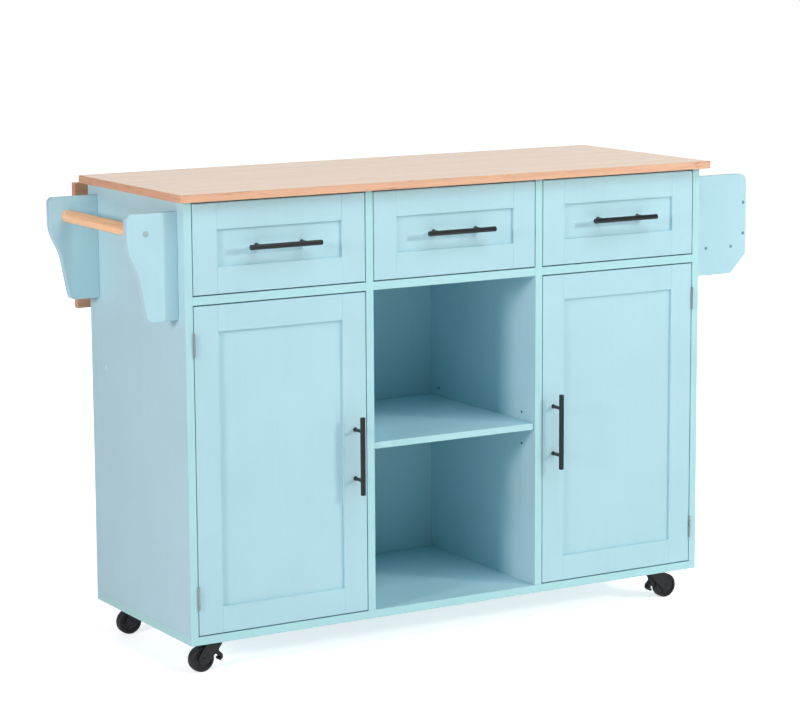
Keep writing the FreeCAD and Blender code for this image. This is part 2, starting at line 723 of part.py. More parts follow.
def caster(word, x, y, angle, braked):
    """One swivel caster: its local X axis points the way that the wheel trails."""
    turn = ((0, 0, 1), angle)
    fork = new_body("fork_" + word)
    side = polygon_sketch(fork, "XZ_Plane", FORK_OUTLINE, "fork_side")
    pad(fork, side, "2 * fork_half_width", midplane=True)
    wheel_gap = [("-40", "crown_bottom"), ("-40", "-60"), ("60", "-60"), ("60", "crown_bottom")]
    pocket(fork, polygon_sketch(fork, "XZ_Plane", wheel_gap, "fork_gap"), "2 * fork_half_gap", midplane=True)
    axle = circle_sketch(fork, "XZ_Plane", [("caster_trail", "axle_height", "axle_radius")], "axle")
    pad(fork, axle, "2 * (fork_half_width + axle_tip)", midplane=True)
    kingpin_hole = [("0", "0", "kingpin_radius + running_clearance")]
    pocket(fork, circle_sketch(fork, "XY_Plane", kingpin_hole, "swivel_hole"), "-crown_bottom + past")
    if braked:
        pedal_hole = [("pedal_pivot_reach", "pedal_pivot_height", "pedal_pin_radius + running_clearance")]
        bore = circle_sketch(fork, "XZ_Plane", pedal_hole, "pedal_hole")
        pocket(fork, bore, "2 * (fork_half_width + past)", midplane=True)
    finish(fork, "caster_fork_" + word, x, y, "0", turn)
    finish(wheel(), "caster_wheel_" + word, x, y, "0", turn)
    if braked:
        pedal = new_body("pedal_" + word)
        side = polygon_sketch(pedal, "XZ_Plane", PEDAL_OUTLINE, "pedal_side")
        pad(pedal, side, "2 * pedal_half_width", midplane=True)
        pin = circle_sketch(pedal, "XZ_Plane", [("pedal_pivot_reach", "pedal_pivot_height",
                                                 "pedal_pin_radius")], "pedal_pin")
        pad(pedal, pin, "2 * fork_half_width", midplane=True)
        finish(pedal, "brake_pedal_" + word, x, y, "0", turn)


def wheel():
    """A solid wheel with eased tread edges, shallow side recesses and a running bore."""
    half = "wheel_width / 2"
    tyre = rod("wheel_radius", "-" + half, half, x="caster_trail", z="axle_height", axis="Y", name="tyre")
    document.recompute()
    eased = document.addObject("Part::Fillet", "eased_tread")
    eased.Base = tyre
    ease = number("tread_ease")
    eased.Edges = [(index, ease, ease) for index, edge in enumerate(tyre.Shape.Edges, start=1)
                   if edge.Curve.TypeId == "Part::GeomCircle"]
    near, far = "-%s - past" % half, "%s + past" % half
    tools = [rod("axle_radius + running_clearance", near, far, x="caster_trail", z="axle_height", axis="Y")]
    for low, high in ((near, "-%s + hub_recess" % half), ("%s - hub_recess" % half, far)):
        ring = rod("wheel_radius - rim_width", low, high, x="caster_trail", z="axle_height", axis="Y")
        hub = rod("hub_radius", low + " - past", high + " + past", x="caster_trail", z="axle_height",
                  axis="Y")
        tools.append(cut(ring, [hub]))
    return cut(eased, tools)


def caster_plate(x, y):
    """Mounting plate, ball-race boss and riveted kingpin."""
    half = "caster_plate / 2"
    pieces = [block(("%s - %s" % (x, half), "%s + %s" % (x, half)),
                    ("%s - %s" % (y, half), "%s + %s" % (y, half)), ("-caster_metal", "0")),
              rod("boss_radius", "boss_bottom", "-caster_metal", x=x, y=y),
              rod("kingpin_radius", "crown_bottom - past", "boss_bottom", x=x, y=y),
              rod("kingpin_head_radius", "crown_bottom - kingpin_head_low",
                  "crown_bottom - kingpin_head_high", x=x, y=y)]
    return fuse(pieces)


def casters():
    plates = []
    for end, y in (("front", "caster_setback"), ("rear", "cabinet_depth - caster_setback")):
        for side, sign, angle in (("left", -1, 180), ("right", 1, 0)):
            x = "(%d) * (half_width - caster_inset)" % sign
            plates.append(caster_plate(x, y))
            caster("%s_%s" % (end, side), x, y, angle, end == "front")
    finish(group(plates), "caster_plates")


# --------------------------------------------------------------------- screws

def screw(x, y, z, axis, direction, head, length=30):
    """A flat-headed screw: direction says which way its head faces along the axis."""
    spot = {"X": x, "Y": y, "Z": z}
    face = spot[axis]
    low, high = ordered(face, "(%s) + (%d) * 0.6" % (face, direction))
    cap = rod(str(head), low, high, x=x, y=y, z=z, axis=axis)
    low, high = ordered(face, "(%s) - (%d) * %d" % (face, direction, length))
    return fuse([cap, rod("2", low, high, x=x, y=y, z=z, axis=axis)])


def screws():
    heads = []
    for sign in (-1, 1):
        x = "(%d) * half_width" % sign
        for y, z in (("316", "626"), ("355", "481")):
            heads.append(screw(x, y, z, "X", sign, head=4, length=12))
    rod_x = "-(half_width + rod_reach)"
    rod_z = "rack_top - rod_drop"
    rail_x = "half_width + spice_reach - board / 2"
    shelf_z = "spice_floor + board / 2"
    rack = [(rod_x, rod_z, 6), (rail_x, "spice_floor + board + spice_rail / 2", 3.5),
            (rail_x, "spice_floor + board + spice_rail * 3 / 2 + spice_rail_gap", 3.5),
            ("half_width + 38", shelf_z, 3.5), ("half_width + 102", shelf_z, 3.5)]
    for x, z, head in rack:
        heads.append(screw(x, "rack_setback", z, "Y", -1, head=head))
        heads.append(screw(x, "rack_rear_back", z, "Y", 1, head=head))
    finish(group(heads), "cabinet_screws")


# --------------------------------------------------------------------- export

def check_and_export():
    document.recompute()
    for item in document.Objects:
        bad = [state for state in item.State if state in ("Invalid", "Error")]
        if bad:
            raise RuntimeError("%s (%s) is %s" % (item.Name, item.Label, bad))
    for label, item in NODES.items():
        if item.Shape.isNull() or not item.Shape.isValid():
            raise RuntimeError("%s has no valid shape" % label)
    os.makedirs("parts", exist_ok=True)
    for label, item in NODES.items():
        item.Shape.exportStep("parts/%s.step" % label)
        print("%-26s solids %2d  volume %10.0f" % (label, len(item.Shape.Solids), item.Shape.Volume))
    print(len(NODES), "sub-parts")


cabinet()
shelves()
fronts()
towel_rail()
spice_rack()
drop_leaf()
casters()
screws()
check_and_export()
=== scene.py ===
import json
import math

import bmesh
import bpy
from mathutils import Matrix, Vector


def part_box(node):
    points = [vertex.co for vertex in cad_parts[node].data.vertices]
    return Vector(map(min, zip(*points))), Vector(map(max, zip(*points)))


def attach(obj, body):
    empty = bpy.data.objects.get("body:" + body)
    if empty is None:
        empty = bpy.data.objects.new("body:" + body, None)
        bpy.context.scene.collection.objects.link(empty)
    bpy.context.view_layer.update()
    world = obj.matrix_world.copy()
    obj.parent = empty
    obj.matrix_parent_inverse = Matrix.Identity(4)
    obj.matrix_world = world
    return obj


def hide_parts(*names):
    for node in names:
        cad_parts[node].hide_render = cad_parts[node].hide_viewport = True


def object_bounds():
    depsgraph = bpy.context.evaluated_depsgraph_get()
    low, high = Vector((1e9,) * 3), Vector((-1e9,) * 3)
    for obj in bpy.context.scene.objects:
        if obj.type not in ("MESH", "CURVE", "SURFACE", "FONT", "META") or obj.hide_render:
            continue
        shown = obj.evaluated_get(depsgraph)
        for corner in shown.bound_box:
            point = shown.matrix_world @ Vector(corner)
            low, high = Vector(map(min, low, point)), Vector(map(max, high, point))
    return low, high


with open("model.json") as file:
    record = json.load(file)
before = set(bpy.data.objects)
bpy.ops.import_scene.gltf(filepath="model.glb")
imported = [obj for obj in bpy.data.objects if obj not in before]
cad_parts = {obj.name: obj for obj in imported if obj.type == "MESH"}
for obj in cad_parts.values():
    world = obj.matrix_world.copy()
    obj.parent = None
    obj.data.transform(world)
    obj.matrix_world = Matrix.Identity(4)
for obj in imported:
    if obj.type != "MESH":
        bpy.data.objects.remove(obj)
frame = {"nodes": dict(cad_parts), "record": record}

CAD_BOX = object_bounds()
JOINTS = {joint["name"]: joint for joint in frame["record"]["behaviour"]["joints"]}
SIDES = (("left", -1), ("right", 1))

# Sizes that the boxes of the nodes do not give, in metres.
FRAME_MEMBER = 0.05
PANEL_RECESS = 0.005
BOX_WALL = 0.012
BOX_GROOVE = 0.008
BOX_BOTTOM = 0.004
SLIDE_METAL = 0.0012
SLIDE_SPACE = 0.0125
FIXED_FLANGE = 0.0103
MOVING_FLANGE = 0.009
BAR_RADIUS = 0.005
POST_RADIUS = 0.0035
POST_COLLAR = 0.0044
POST_SPACING = 0.096
HINGE_LENGTH = 0.045
KNUCKLE_RADIUS = 0.002
KNUCKLE_PLAY = 0.00012
HINGE_PIN_RADIUS = 0.001
HINGE_LEAF = 0.0009
HINGE_LEAF_SPAN = (0.0024, 0.0164)
KNUCKLE_ARM_SPAN = (0.0016, 0.0029)
STRIKE_METAL = 0.0012
STRIKE_HEIGHT = 0.014
STRIKE_DROP = 0.002
BRACKET_METAL = 0.002
PIN_RADIUS = 0.0025
EASE = 0.0006
WORKTOP_CORNER = 0.005
PANEL_THICKNESS = 0.006
PANEL_TUCK = 0.0005
BOX_TUCK = 0.004
COLLAR_RADIUS = 0.0036
COLLAR_WIDTH = 0.0008
ROD_HEAD_LIMIT = 0.005
EAR_RADIUS = 0.005
BRACE_LENGTH = 0.125


# --- materials

def set_inputs(node, **values):
    """Set a node's inputs; an underscore stands for the space in an input's name."""
    for name, value in values.items():
        node.inputs[name.replace("_", " ")].default_value = value


class Finish:
    """A node-based material, with short calls for the nodes that all finishes use."""

    def __init__(self, name, roughness, metallic=0.0, specular=0.5):
        self.material = bpy.data.materials.new(name)
        self.material.use_nodes = True
        self.tree = self.material.node_tree
        self.shader = self.tree.nodes["Principled BSDF"]
        set_inputs(self.shader, Roughness=roughness, Metallic=metallic, Specular_IOR_Level=specular)
        self.place = self.add("ShaderNodeTexCoord")

    def add(self, kind, **values):
        node = self.tree.nodes.new(kind)
        for key, value in values.items():
            setattr(node, key, value)
        return node

    def link(self, source, target):
        self.tree.links.new(source, target)

    def noise(self, scale, stretch=(1, 1, 1), detail=2.0, rough=0.5, distortion=0.0, shift=0.0):
        """Noise over the piece's own coordinates, stretched by scaling each axis."""
        mapping = self.add("ShaderNodeMapping")
        set_inputs(mapping, Scale=stretch, Location=(shift, shift, shift))
        self.link(self.place.outputs["Object"], mapping.inputs["Vector"])
        noise = self.add("ShaderNodeTexNoise")
        set_inputs(noise, Scale=scale, Detail=detail, Roughness=rough, Distortion=distortion)
        self.link(mapping.outputs["Vector"], noise.inputs["Vector"])
        return noise.outputs["Fac"]

    def ramp(self, source, stops):
        ramp = self.add("ShaderNodeValToRGB")
        while len(ramp.color_ramp.elements) < len(stops):
            ramp.color_ramp.elements.new(0.5)
        for element, (position, colour) in zip(ramp.color_ramp.elements, stops):
            element.position = position
            element.color = (*colour, 1)
        self.link(source, ramp.inputs["Fac"])
        return ramp.outputs["Color"]

    def multiply(self, first, second):
        node = self.add("ShaderNodeMix", data_type="RGBA", blend_type="MULTIPLY")
        sockets = {socket.identifier: socket for socket in node.inputs}
        sockets["Factor_Float"].default_value = 1.0
        self.link(first, sockets["A_Color"])
        self.link(second, sockets["B_Color"])
        return next(out for out in node.outputs if out.identifier == "Result_Color")

    def span(self, source, low, high):
        """Map noise from its usual 0.3 to 0.7 onto low to high."""
        node = self.add("ShaderNodeMapRange")
        set_inputs(node, From_Min=0.3, From_Max=0.7, To_Min=low, To_Max=high)
        self.link(source, node.inputs["Value"])
        return node.outputs["Result"]

    def colour(self, source):
        self.link(source, self.shader.inputs["Base Color"])

    def rough(self, source, low, high):
        self.link(self.span(source, low, high), self.shader.inputs["Roughness"])

    def bump(self, *layers):
        """Layers of (height, strength, distance), the first one lowest."""
        normal = None
        for height, strength, distance in layers:
            node = self.add("ShaderNodeBump")
            set_inputs(node, Strength=strength, Distance=distance)
            self.link(height, node.inputs["Height"])
            if normal is not None:
                self.link(normal, node.inputs["Normal"])
            normal = node.outputs["Normal"]
        self.link(normal, self.shader.inputs["Normal"])


def shade(colour, factor):
    return tuple(channel * factor for channel in colour)


def stretched(across, along, axis):
    """Noise scales for a grain that runs along an axis."""
    scales = [across] * 3
    scales[axis] = along
    return scales


def paint(name, colour, streak_axis=2, streak=0.018):
    """Satin paint on fibreboard: slight mottling, faint roller streaks, fine orange peel."""
    finish = Finish(name, 0.42, specular=0.4)
    cloudy = finish.noise(5.0, detail=3.0)
    rolled = finish.noise(1.0, stretched(90.0, 2.2, streak_axis), detail=4.0)
    base = finish.ramp(cloudy, [(0.35, shade(colour, 0.975)), (0.65, shade(colour, 1.02))])
    streaks = finish.ramp(rolled, [(0.3, (1 - streak,) * 3), (0.7, (1, 1, 1))])
    finish.colour(finish.multiply(base, streaks))
    finish.rough(finish.noise(40.0, detail=3.0), 0.37, 0.47)
    finish.bump((rolled, 0.12, 0.0004), (finish.noise(900.0, detail=1.0), 0.1, 0.0002))
    return finish.material


def wood(name, light, dark, grain_axis, roughness, contrast=1.0, scale=1.0):
    """Straight-grained wood: broad bands, narrow fibres and short darker flecks along the grain."""
    finish = Finish(name, roughness[0])

    def along(across, length):
        return stretched(across * scale, length * scale, grain_axis)

    bands = finish.noise(1.0, along(26.0, 0.9), detail=5.0, rough=0.55, distortion=0.6)
    fibres = finish.noise(1.0, along(320.0, 7.0), detail=3.0, rough=0.6, shift=3.1)
    flecks = finish.noise(1.0, along(210.0, 26.0), detail=2.0, shift=7.7)
    middle = tuple((a + b) / 2 for a, b in zip(light, dark))
    base = finish.ramp(bands, [(0.5 - 0.22 / contrast, dark), (0.5, middle), (0.5 + 0.2 / contrast, light)])
    thin = finish.ramp(fibres, [(0.3, (0.9, 0.87, 0.84)), (0.62, (1.02, 1.02, 1.02))])
    spots = finish.ramp(flecks, [(0.29, (0.8, 0.7, 0.62)), (0.37, (1, 1, 1))])
    finish.colour(finish.multiply(finish.multiply(base, thin), spots))
    finish.rough(bands, *roughness)
    finish.bump((fibres, 0.1, 0.0003), (bands, 0.06, 0.0006))
    return finish.material


def metal(name, colour, roughness=(0.24, 0.36), brushed_axis=2):
    """Plated steel with fine drawing lines and faint smudges."""
    finish = Finish(name, roughness[0], metallic=1.0)
    lines = finish.noise(1.0, stretched(1500.0, 40.0, brushed_axis), detail=2.0)
    smudge = finish.noise(60.0, detail=3.0)
    finish.colour(finish.ramp(smudge, [(0.3, shade(colour, 0.88)), (0.7, colour)]))
    finish.rough(smudge, *roughness)
    finish.bump((lines, 0.12, 0.0001))
    return finish.material


def coated(name, colour, roughness=(0.34, 0.46), grain=1400.0, strength=0.22):
    """Powder coat or moulded plastic: fine even texture, slight tone and gloss changes."""
    finish = Finish(name, roughness[0])
    broad = finish.noise(45.0, detail=3.0)
    fine = finish.noise(grain, detail=1.0)
    finish.colour(finish.ramp(broad, [(0.3, shade(colour, 0.86)), (0.7, shade(colour, 1.12))]))
    finish.rough(broad, *roughness)
    finish.bump((fine, strength, 0.00015))
    return finish.material


TURQUOISE = (0.43, 0.71, 0.79)
PAINT = paint("painted_board", TURQUOISE)
PAINT_ACROSS = paint("painted_board_across", TURQUOISE, streak_axis=0)
BAND = paint("painted_edge_band", (0.415, 0.745, 0.775), streak=0.01)
FOIL = paint("drawer_foil", (0.74, 0.76, 0.74), streak_axis=1, streak=0.012)
TOP_FACE = wood("worktop_face", (0.95, 0.71, 0.51), (0.74, 0.48, 0.3), 0, roughness=(0.3, 0.4))
# The leaf's face towards the cabinet at rest: a darker copy of the worktop wood, painted shade for the face
# that hangs in shade.
LEAF_PAINTED_SHADE = wood("leaf_underside_painted_shade", (0.66, 0.42, 0.26), (0.52, 0.31, 0.18), 0, roughness=(0.34, 0.44))
TOP_BAND = wood("worktop_edge_band", (0.8, 0.52, 0.35), (0.68, 0.4, 0.25), 0, roughness=(0.38, 0.48))
TOP_BAND_END = wood("worktop_end_band", (0.76, 0.48, 0.32), (0.64, 0.36, 0.22), 1, roughness=(0.38, 0.48))
# The leaf's end band: darker than the worktop's end band, painted shade for the end that hangs in shade.
LEAF_BAND_PAINTED_SHADE = wood("leaf_end_band_painted_shade", (0.7, 0.42, 0.26), (0.58, 0.31, 0.18), 2, roughness=(0.38, 0.48))
ROD_WOOD = wood("rod_wood", (0.96, 0.66, 0.38), (0.62, 0.33, 0.13), 1, roughness=(0.38, 0.52), contrast=1.5,
                scale=1.6)
BLACK = coated("black_metal", (0.01, 0.013, 0.015), roughness=(0.3, 0.4), grain=1800.0, strength=0.12)
NICKEL = metal("hinge_nickel", (0.45, 0.47, 0.48))
ZINC = metal("slide_zinc", (0.62, 0.64, 0.66), roughness=(0.3, 0.44), brushed_axis=1)
WHITE_STEEL = coated("bracket_white", (0.72, 0.72, 0.7), roughness=(0.36, 0.48))
CATCH = coated("catch_plastic", (0.72, 0.72, 0.69), roughness=(0.4, 0.52))
CASTER_STEEL = coated("caster_steel", (0.016, 0.016, 0.018), roughness=(0.28, 0.4), strength=0.1)
CASTER_PLASTIC = coated("caster_plastic", (0.013, 0.014, 0.015), roughness=(0.36, 0.5), strength=0.25)
TREAD = coated("wheel_tread", (0.016, 0.016, 0.017), roughness=(0.42, 0.58), strength=0.35)
# Pale cover caps: partly their own light tone, partly a painted highlight that makes them read as a light
# dot.
PALE_CAP_AND_HIGHLIGHT = coated("screw_cap_painted_highlight", (0.55, 0.75, 0.8), roughness=(0.34, 0.44), strength=0.1)
SCREW = metal("screw_zinc", (0.42, 0.46, 0.48), roughness=(0.3, 0.42))
RACK_SCREW = coated("screw_rack", (0.13, 0.33, 0.4), strength=0.1)
# The rod's screw heads: a light grey coat that stands in for a metal head's shine, painted reflection.
ROD_SCREW_PAINTED_REFLECTION = coated("screw_rod_painted_reflection", (0.36, 0.5, 0.55), strength=0.1)
# Near black for the walls of the shelf-pin holes: painted shade that darkens the holes.
HOLE_PAINTED_SHADE = coated("hole_wall_painted_shade", (0.045, 0.035, 0.028), roughness=(0.8, 0.9), grain=900.0)


# --- geometry

AXIS = {"X": 0, "Y": 1, "Z": 2}


class Shape:
    """Separate closed shells gathered in one mesh; every call adds one shell."""

    def __init__(self):
        self.bm = bmesh.new()

    def box(self, low, high, face=0, edge=None, thin=None):
        """A box; with edge and thin, only the two faces across the thin axis take the face material."""
        verts = [self.bm.verts.new([(low, high)[(index >> axis) & 1][axis] for axis in range(3)])
                 for index in range(8)]
        for axis in range(3):
            first, second = 1 << ((axis + 1) % 3), 1 << ((axis + 2) % 3)
            for side in (0, 1):
                start = side << axis
                loop = [start, start + first, start + first + second, start + second]
                if not side:
                    loop.reverse()
                made = self.bm.faces.new([verts[index] for index in loop])
                made.material_index = edge if edge is not None and axis != AXIS[thin] else face
        return self

    def prism(self, outline, axis, low, high, face=0, edge=None):
        """A closed outline, in the two axes after the given one, drawn out along that axis."""
        axis = AXIS[axis]
        area = sum(a[0] * b[1] - b[0] * a[1] for a, b in zip(outline, outline[1:] + outline[:1]))
        if area < 0:
            outline = outline[::-1]
        rings = []
        for level in (low, high):
            ring = []
            for across, up in outline:
                point = [0, 0, 0]
                point[axis], point[(axis + 1) % 3], point[(axis + 2) % 3] = level, across, up
                ring.append(self.bm.verts.new(point))
            rings.append(ring)
        self.bm.faces.new(rings[0][::-1]).material_index = face
        self.bm.faces.new(rings[1]).material_index = face
        count = len(outline)
        for index in range(count):
            follow = (index + 1) % count
            side = self.bm.faces.new([rings[0][index], rings[0][follow], rings[1][follow], rings[1][index]])
            side.material_index = face if edge is None else edge
        return self

    def lathe(self, axis, centre, profile, segments):
        """Turn (position, radius) pairs about an axis through centre; a radius of 0 closes the end."""
        axis = AXIS[axis]
        rings = []
        for position, radius in profile:
            ring = []
            for step in range(segments if radius > 0 else 1):
                angle = 2 * math.pi * step / segments
                point = [0, 0, 0]
                point[axis] = centre[axis] + position
                point[(axis + 1) % 3] = centre[(axis + 1) % 3] + radius * math.cos(angle)
                point[(axis + 2) % 3] = centre[(axis + 2) % 3] + radius * math.sin(angle)
                ring.append(self.bm.verts.new(point))
            rings.append(ring)
        for first, second in zip(rings, rings[1:]):
            for step in range(segments):
                follow = (step + 1) % segments
                loop = [first[step % len(first)], first[follow % len(first)],
                        second[follow % len(second)], second[step % len(second)]]
                unique = list(dict.fromkeys(loop))
                if len(unique) > 2:
                    self.bm.faces.new(unique)
        return self

    def move(self, matrix):
        bmesh.ops.transform(self.bm, matrix=matrix, verts=self.bm.verts)
        return self

    def mesh(self, name):
        bmesh.ops.recalc_face_normals(self.bm, faces=self.bm.faces)
        mesh = bpy.data.meshes.new(name)
        self.bm.to_mesh(mesh)
        return mesh

    def carve(self, cutter):
        """Take another shape's shells away from this one."""
        holders = []
        for shape in (self, cutter):
            holder = bpy.data.objects.new("holder", shape.mesh("holder"))
            bpy.context.scene.collection.objects.link(holder)
            holders.append(holder)
        modifier = holders[0].modifiers.new("carve", "BOOLEAN")
        modifier.operation = "DIFFERENCE"
        modifier.solver = "EXACT"
        modifier.object = holders[1]
        graph = bpy.context.evaluated_depsgraph_get()
        carved = bpy.data.meshes.new_from_object(holders[0].evaluated_get(graph))
        self.bm = bmesh.new()
        self.bm.from_mesh(carved)
        for holder in holders:
            bpy.data.objects.remove(holder)
        return self


def join(target, source):
    target.bm.from_mesh(source.mesh("part"))
    return target


def piece(name, shape, materials, body, replaced=(), ease=EASE, segments=2):
    """Turn a shape into a finished piece that rides on a body."""
    mesh = shape.mesh(name)
    for material in materials if isinstance(materials, (list, tuple)) else [materials]:
        mesh.materials.append(material)
    mesh.polygons.foreach_set("use_smooth", [True] * len(mesh.polygons))
    made = bpy.data.objects.new(name, mesh)
    bpy.context.scene.collection.objects.link(made)
    bevel = made.modifiers.new("eased_edges", "BEVEL")
    bevel.width = ease
    bevel.segments = segments
    bevel.limit_method = "ANGLE"
    bevel.angle_limit = math.radians(38)
    bevel.harden_normals = True
    bevel.use_clamp_overlap = True
    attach(made, body)
    if replaced:
        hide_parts(*replaced)


def rounded(points, radii, steps):
    """An outline with the corners named in radii rounded: {index: radius}."""
    outline = []
    count = len(points)
    for index, point in enumerate(points):
        radius = radii.get(index)
        corner = Vector(point)
        if not radius:
            outline.append(tuple(corner))
            continue
        before = (Vector(points[index - 1]) - corner).normalized()
        after = (Vector(points[(index + 1) % count]) - corner).normalized()
        half = before.angle(after) / 2
        reach = radius / math.tan(half)
        centre = corner + (before + after).normalized() * (radius / math.sin(half))
        start = corner + before * reach - centre
        end = corner + after * reach - centre
        sweep = start.angle_signed(end)
        for step in range(steps + 1):
            turn = Matrix.Rotation(-sweep * step / steps, 2)
            outline.append(tuple(centre + turn @ start))
    return outline


def rectangle(low_across, low_up, high_across, high_up):
    return [(low_across, low_up), (high_across, low_up), (high_across, high_up), (low_across, high_up)]


def disc(across, up, radius, segments=24):
    """A round outline."""
    return [(across + radius * math.cos(2 * math.pi * step / segments),
             up + radius * math.sin(2 * math.pi * step / segments)) for step in range(segments)]


def stadium(across, low, high, radius, steps=10):
    """A slot-shaped outline, its length along the second axis."""
    outline = []
    for centre, start in ((high, 0.0), (low, math.pi)):
        for step in range(steps + 1):
            angle = start + math.pi * step / steps
            outline.append((across + radius * math.cos(angle), centre + radius * math.sin(angle)))
    return outline


def chamfered(half, radius, chamfer):
    """The lathe profile of a rod with chamfered ends."""
    end = [(half - chamfer, radius), (half, radius - chamfer), (half, 0)]
    return [(-position, size) for position, size in reversed(end)] + end


def swapped(outline):
    """(x, z) pairs as the (z, x) pairs that a prism along Y takes."""
    return [(z, x) for x, z in outline]


def solids(node):
    """(low, high) of each separate solid of a CAD node."""
    bm = bmesh.new()
    bm.from_mesh(frame["nodes"][node].data)
    bmesh.ops.remove_doubles(bm, verts=bm.verts, dist=1e-6)
    waiting = set(bm.verts)
    found = []
    while waiting:
        island, stack = [], [waiting.pop()]
        while stack:
            vertex = stack.pop()
            island.append(vertex.co.copy())
            for edge in vertex.link_edges:
                other = edge.other_vert(vertex)
                if other in waiting:
                    waiting.remove(other)
                    stack.append(other)
        low = Vector([min(point[axis] for point in island) for axis in range(3)])
        high = Vector([max(point[axis] for point in island) for axis in range(3)])
        found.append((low, high))
    bm.free()
    return sorted(found, key=lambda pair: tuple(round(value, 4) for value in pair[0]))


def board(name, node, thin, materials=(), cutter=None):
    """One CAD board of the cabinet as a piece with eased edges and edge banding."""
    low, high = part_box(node)
    shape = Shape().box(low, high, 0, 1, thin)
    if cutter:
        shape.carve(cutter)
        # Faces inside the carved holes take the third material, near black as painted shade.
        for face in shape.bm.faces:
            middle = face.calc_center_median()
            if all(low[axis] + EASE < middle[axis] < high[axis] - EASE for axis in range(3)):
                face.material_index = 2
    piece(name, shape, materials or (PAINT, BAND, HOLE_PAINTED_SHADE), "root", [node])


# --- cabinet

PIN_HOLE_DEPTH = 0.01
PIN_PITCH = 0.032
HINGE_AXIS_Y = JOINTS["door_left_hinge"]["pos_m"][1]


def pin_rows():
    """(y, z) of every shelf-pin hole, from the pins that are fitted."""
    fitted = sorted({(round((low.y + high.y) / 2, 4), round((low.z + high.z) / 2, 4))
                     for low, high in solids("shelf_pins")})
    return [(y, z + step * PIN_PITCH) for y, z in fitted for step in (-1, 0, 1)]


def pin_holes(low_x, high_x):
    holes = Shape()
    depth = high_x - low_x
    for y, z in pin_rows():
        holes.lathe("X", (low_x, y, z), [(0, 0), (0, PIN_RADIUS), (depth, PIN_RADIUS), (depth, 0)], 20)
    return holes


def build_cabinet():
    for word, side in SIDES:
        low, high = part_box("side_panel_" + word)
        inner = low.x if side > 0 else high.x
        depth = sorted((inner - side * 0.002, inner + side * PIN_HOLE_DEPTH))
        board("side_panel_%s_board" % word, "side_panel_" + word, "X", cutter=pin_holes(*depth))
        low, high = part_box("partition_" + word)
        board("partition_%s_board" % word, "partition_" + word, "X",
              cutter=pin_holes(low.x - 0.002, high.x + 0.002))
    board("base_board_piece", "base_board", "Z", materials=(PAINT_ACROSS, BAND))
    board("back_panel_piece", "back_panel", "Y")
    board("rear_rail_piece", "rear_rail", "Y", materials=(PAINT_ACROSS, BAND))
    board("shelf_middle_piece", "shelf_middle", "Z", materials=(PAINT_ACROSS, BAND))
    for name, node in (("divider_boards", "drawer_dividers"), ("cupboard_shelf_boards", "cupboard_shelves")):
        boards = Shape()
        for low, high in solids(node):
            boards.box(low, high, 0, 1, "Z")
        piece(name, boards, (PAINT_ACROSS, BAND), "root", [node])


def build_worktop():
    low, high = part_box("worktop")
    outline = rounded(rectangle(low.x, low.y, high.x, high.y), dict.fromkeys(range(4), WORKTOP_CORNER), 6)
    top = Shape().prism(outline, "Z", low.z, high.z, 0, 1)
    middle, half = (low.x + high.x) / 2, (high.x - low.x) / 2
    for face in top.bm.faces:
        if abs(face.calc_center_median().x - middle) > half - WORKTOP_CORNER:
            face.material_index = 2
    piece("worktop_board", top, (TOP_FACE, TOP_BAND, TOP_BAND_END), "root", ["worktop"],
          ease=0.0014, segments=3)
    low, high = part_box("drop_leaf")
    leaf = Shape().box(low, high, 0, 1, "Y")
    leaf.bm.normal_update()
    for face in leaf.bm.faces:
        # End faces take the leaf's end band, darkened as painted shade.
        if abs(face.normal.x) > 0.5:
            face.material_index = 2
        # The face towards the cabinet takes the darker copy of the worktop wood, painted shade.
        elif face.normal.y < -0.5:
            face.material_index = 3
    piece("leaf_board", leaf, (TOP_FACE, TOP_BAND, LEAF_BAND_PAINTED_SHADE, LEAF_PAINTED_SHADE), "leaf", ["drop_leaf"],
          ease=0.0014, segments=3)


def build_shelf_pins():
    """Plated pins with a collar that stands in the shelf's side play."""
    pins = Shape()
    walls = []
    for node, faces in (("side_panel_left", (1,)), ("partition_left", (-1, 1)), ("partition_right", (-1, 1)),
                        ("side_panel_right", (-1,))):
        board_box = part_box(node)
        walls += [(board_box[1 if free > 0 else 0].x, free) for free in faces]
    for low, high in solids("shelf_pins"):
        wall, free = min(walls, key=lambda pair: max(low.x - pair[0], pair[0] - high.x))
        centre = Vector((0, (low.y + high.y) / 2, (low.z + high.z) / 2))
        tip = high.x if free > 0 else low.x
        root_end = low.x if free > 0 else high.x
        shoulder = wall + free * COLLAR_WIDTH
        profile = [(root_end, 0), (root_end, PIN_RADIUS - 0.0001), (wall, PIN_RADIUS - 0.0001),
                   (wall, COLLAR_RADIUS), (shoulder, COLLAR_RADIUS), (shoulder, PIN_RADIUS),
                   (tip - free * 0.0006, PIN_RADIUS), (tip, PIN_RADIUS - 0.0006), (tip, 0)]
        pins.lathe("X", centre, profile, 20)
    piece("shelf_pin_set", pins, ZINC, "root", ["shelf_pins"], ease=0.0001, segments=1)


# --- drawers and doors

def framed_front(low, high):
    """(frame, panel): stiles the whole height, rails between them, and a thin recessed panel."""
    frame_boards = Shape()
    inner = (low.x + FRAME_MEMBER, high.x - FRAME_MEMBER)
    frame_boards.box(low, (inner[0], high.y, high.z))
    frame_boards.box((inner[1], low.y, low.z), high)
    frame_boards.box((inner[0], low.y, low.z), (inner[1], high.y, low.z + FRAME_MEMBER))
    frame_boards.box((inner[0], low.y, high.z - FRAME_MEMBER), (inner[1], high.y, high.z))
    front = low.y + PANEL_RECESS
    panel = Shape().box(
        (inner[0] - PANEL_TUCK, front, low.z + FRAME_MEMBER - PANEL_TUCK),
        (inner[1] + PANEL_TUCK, front + PANEL_THICKNESS, high.z - FRAME_MEMBER + PANEL_TUCK))
    return frame_boards, panel


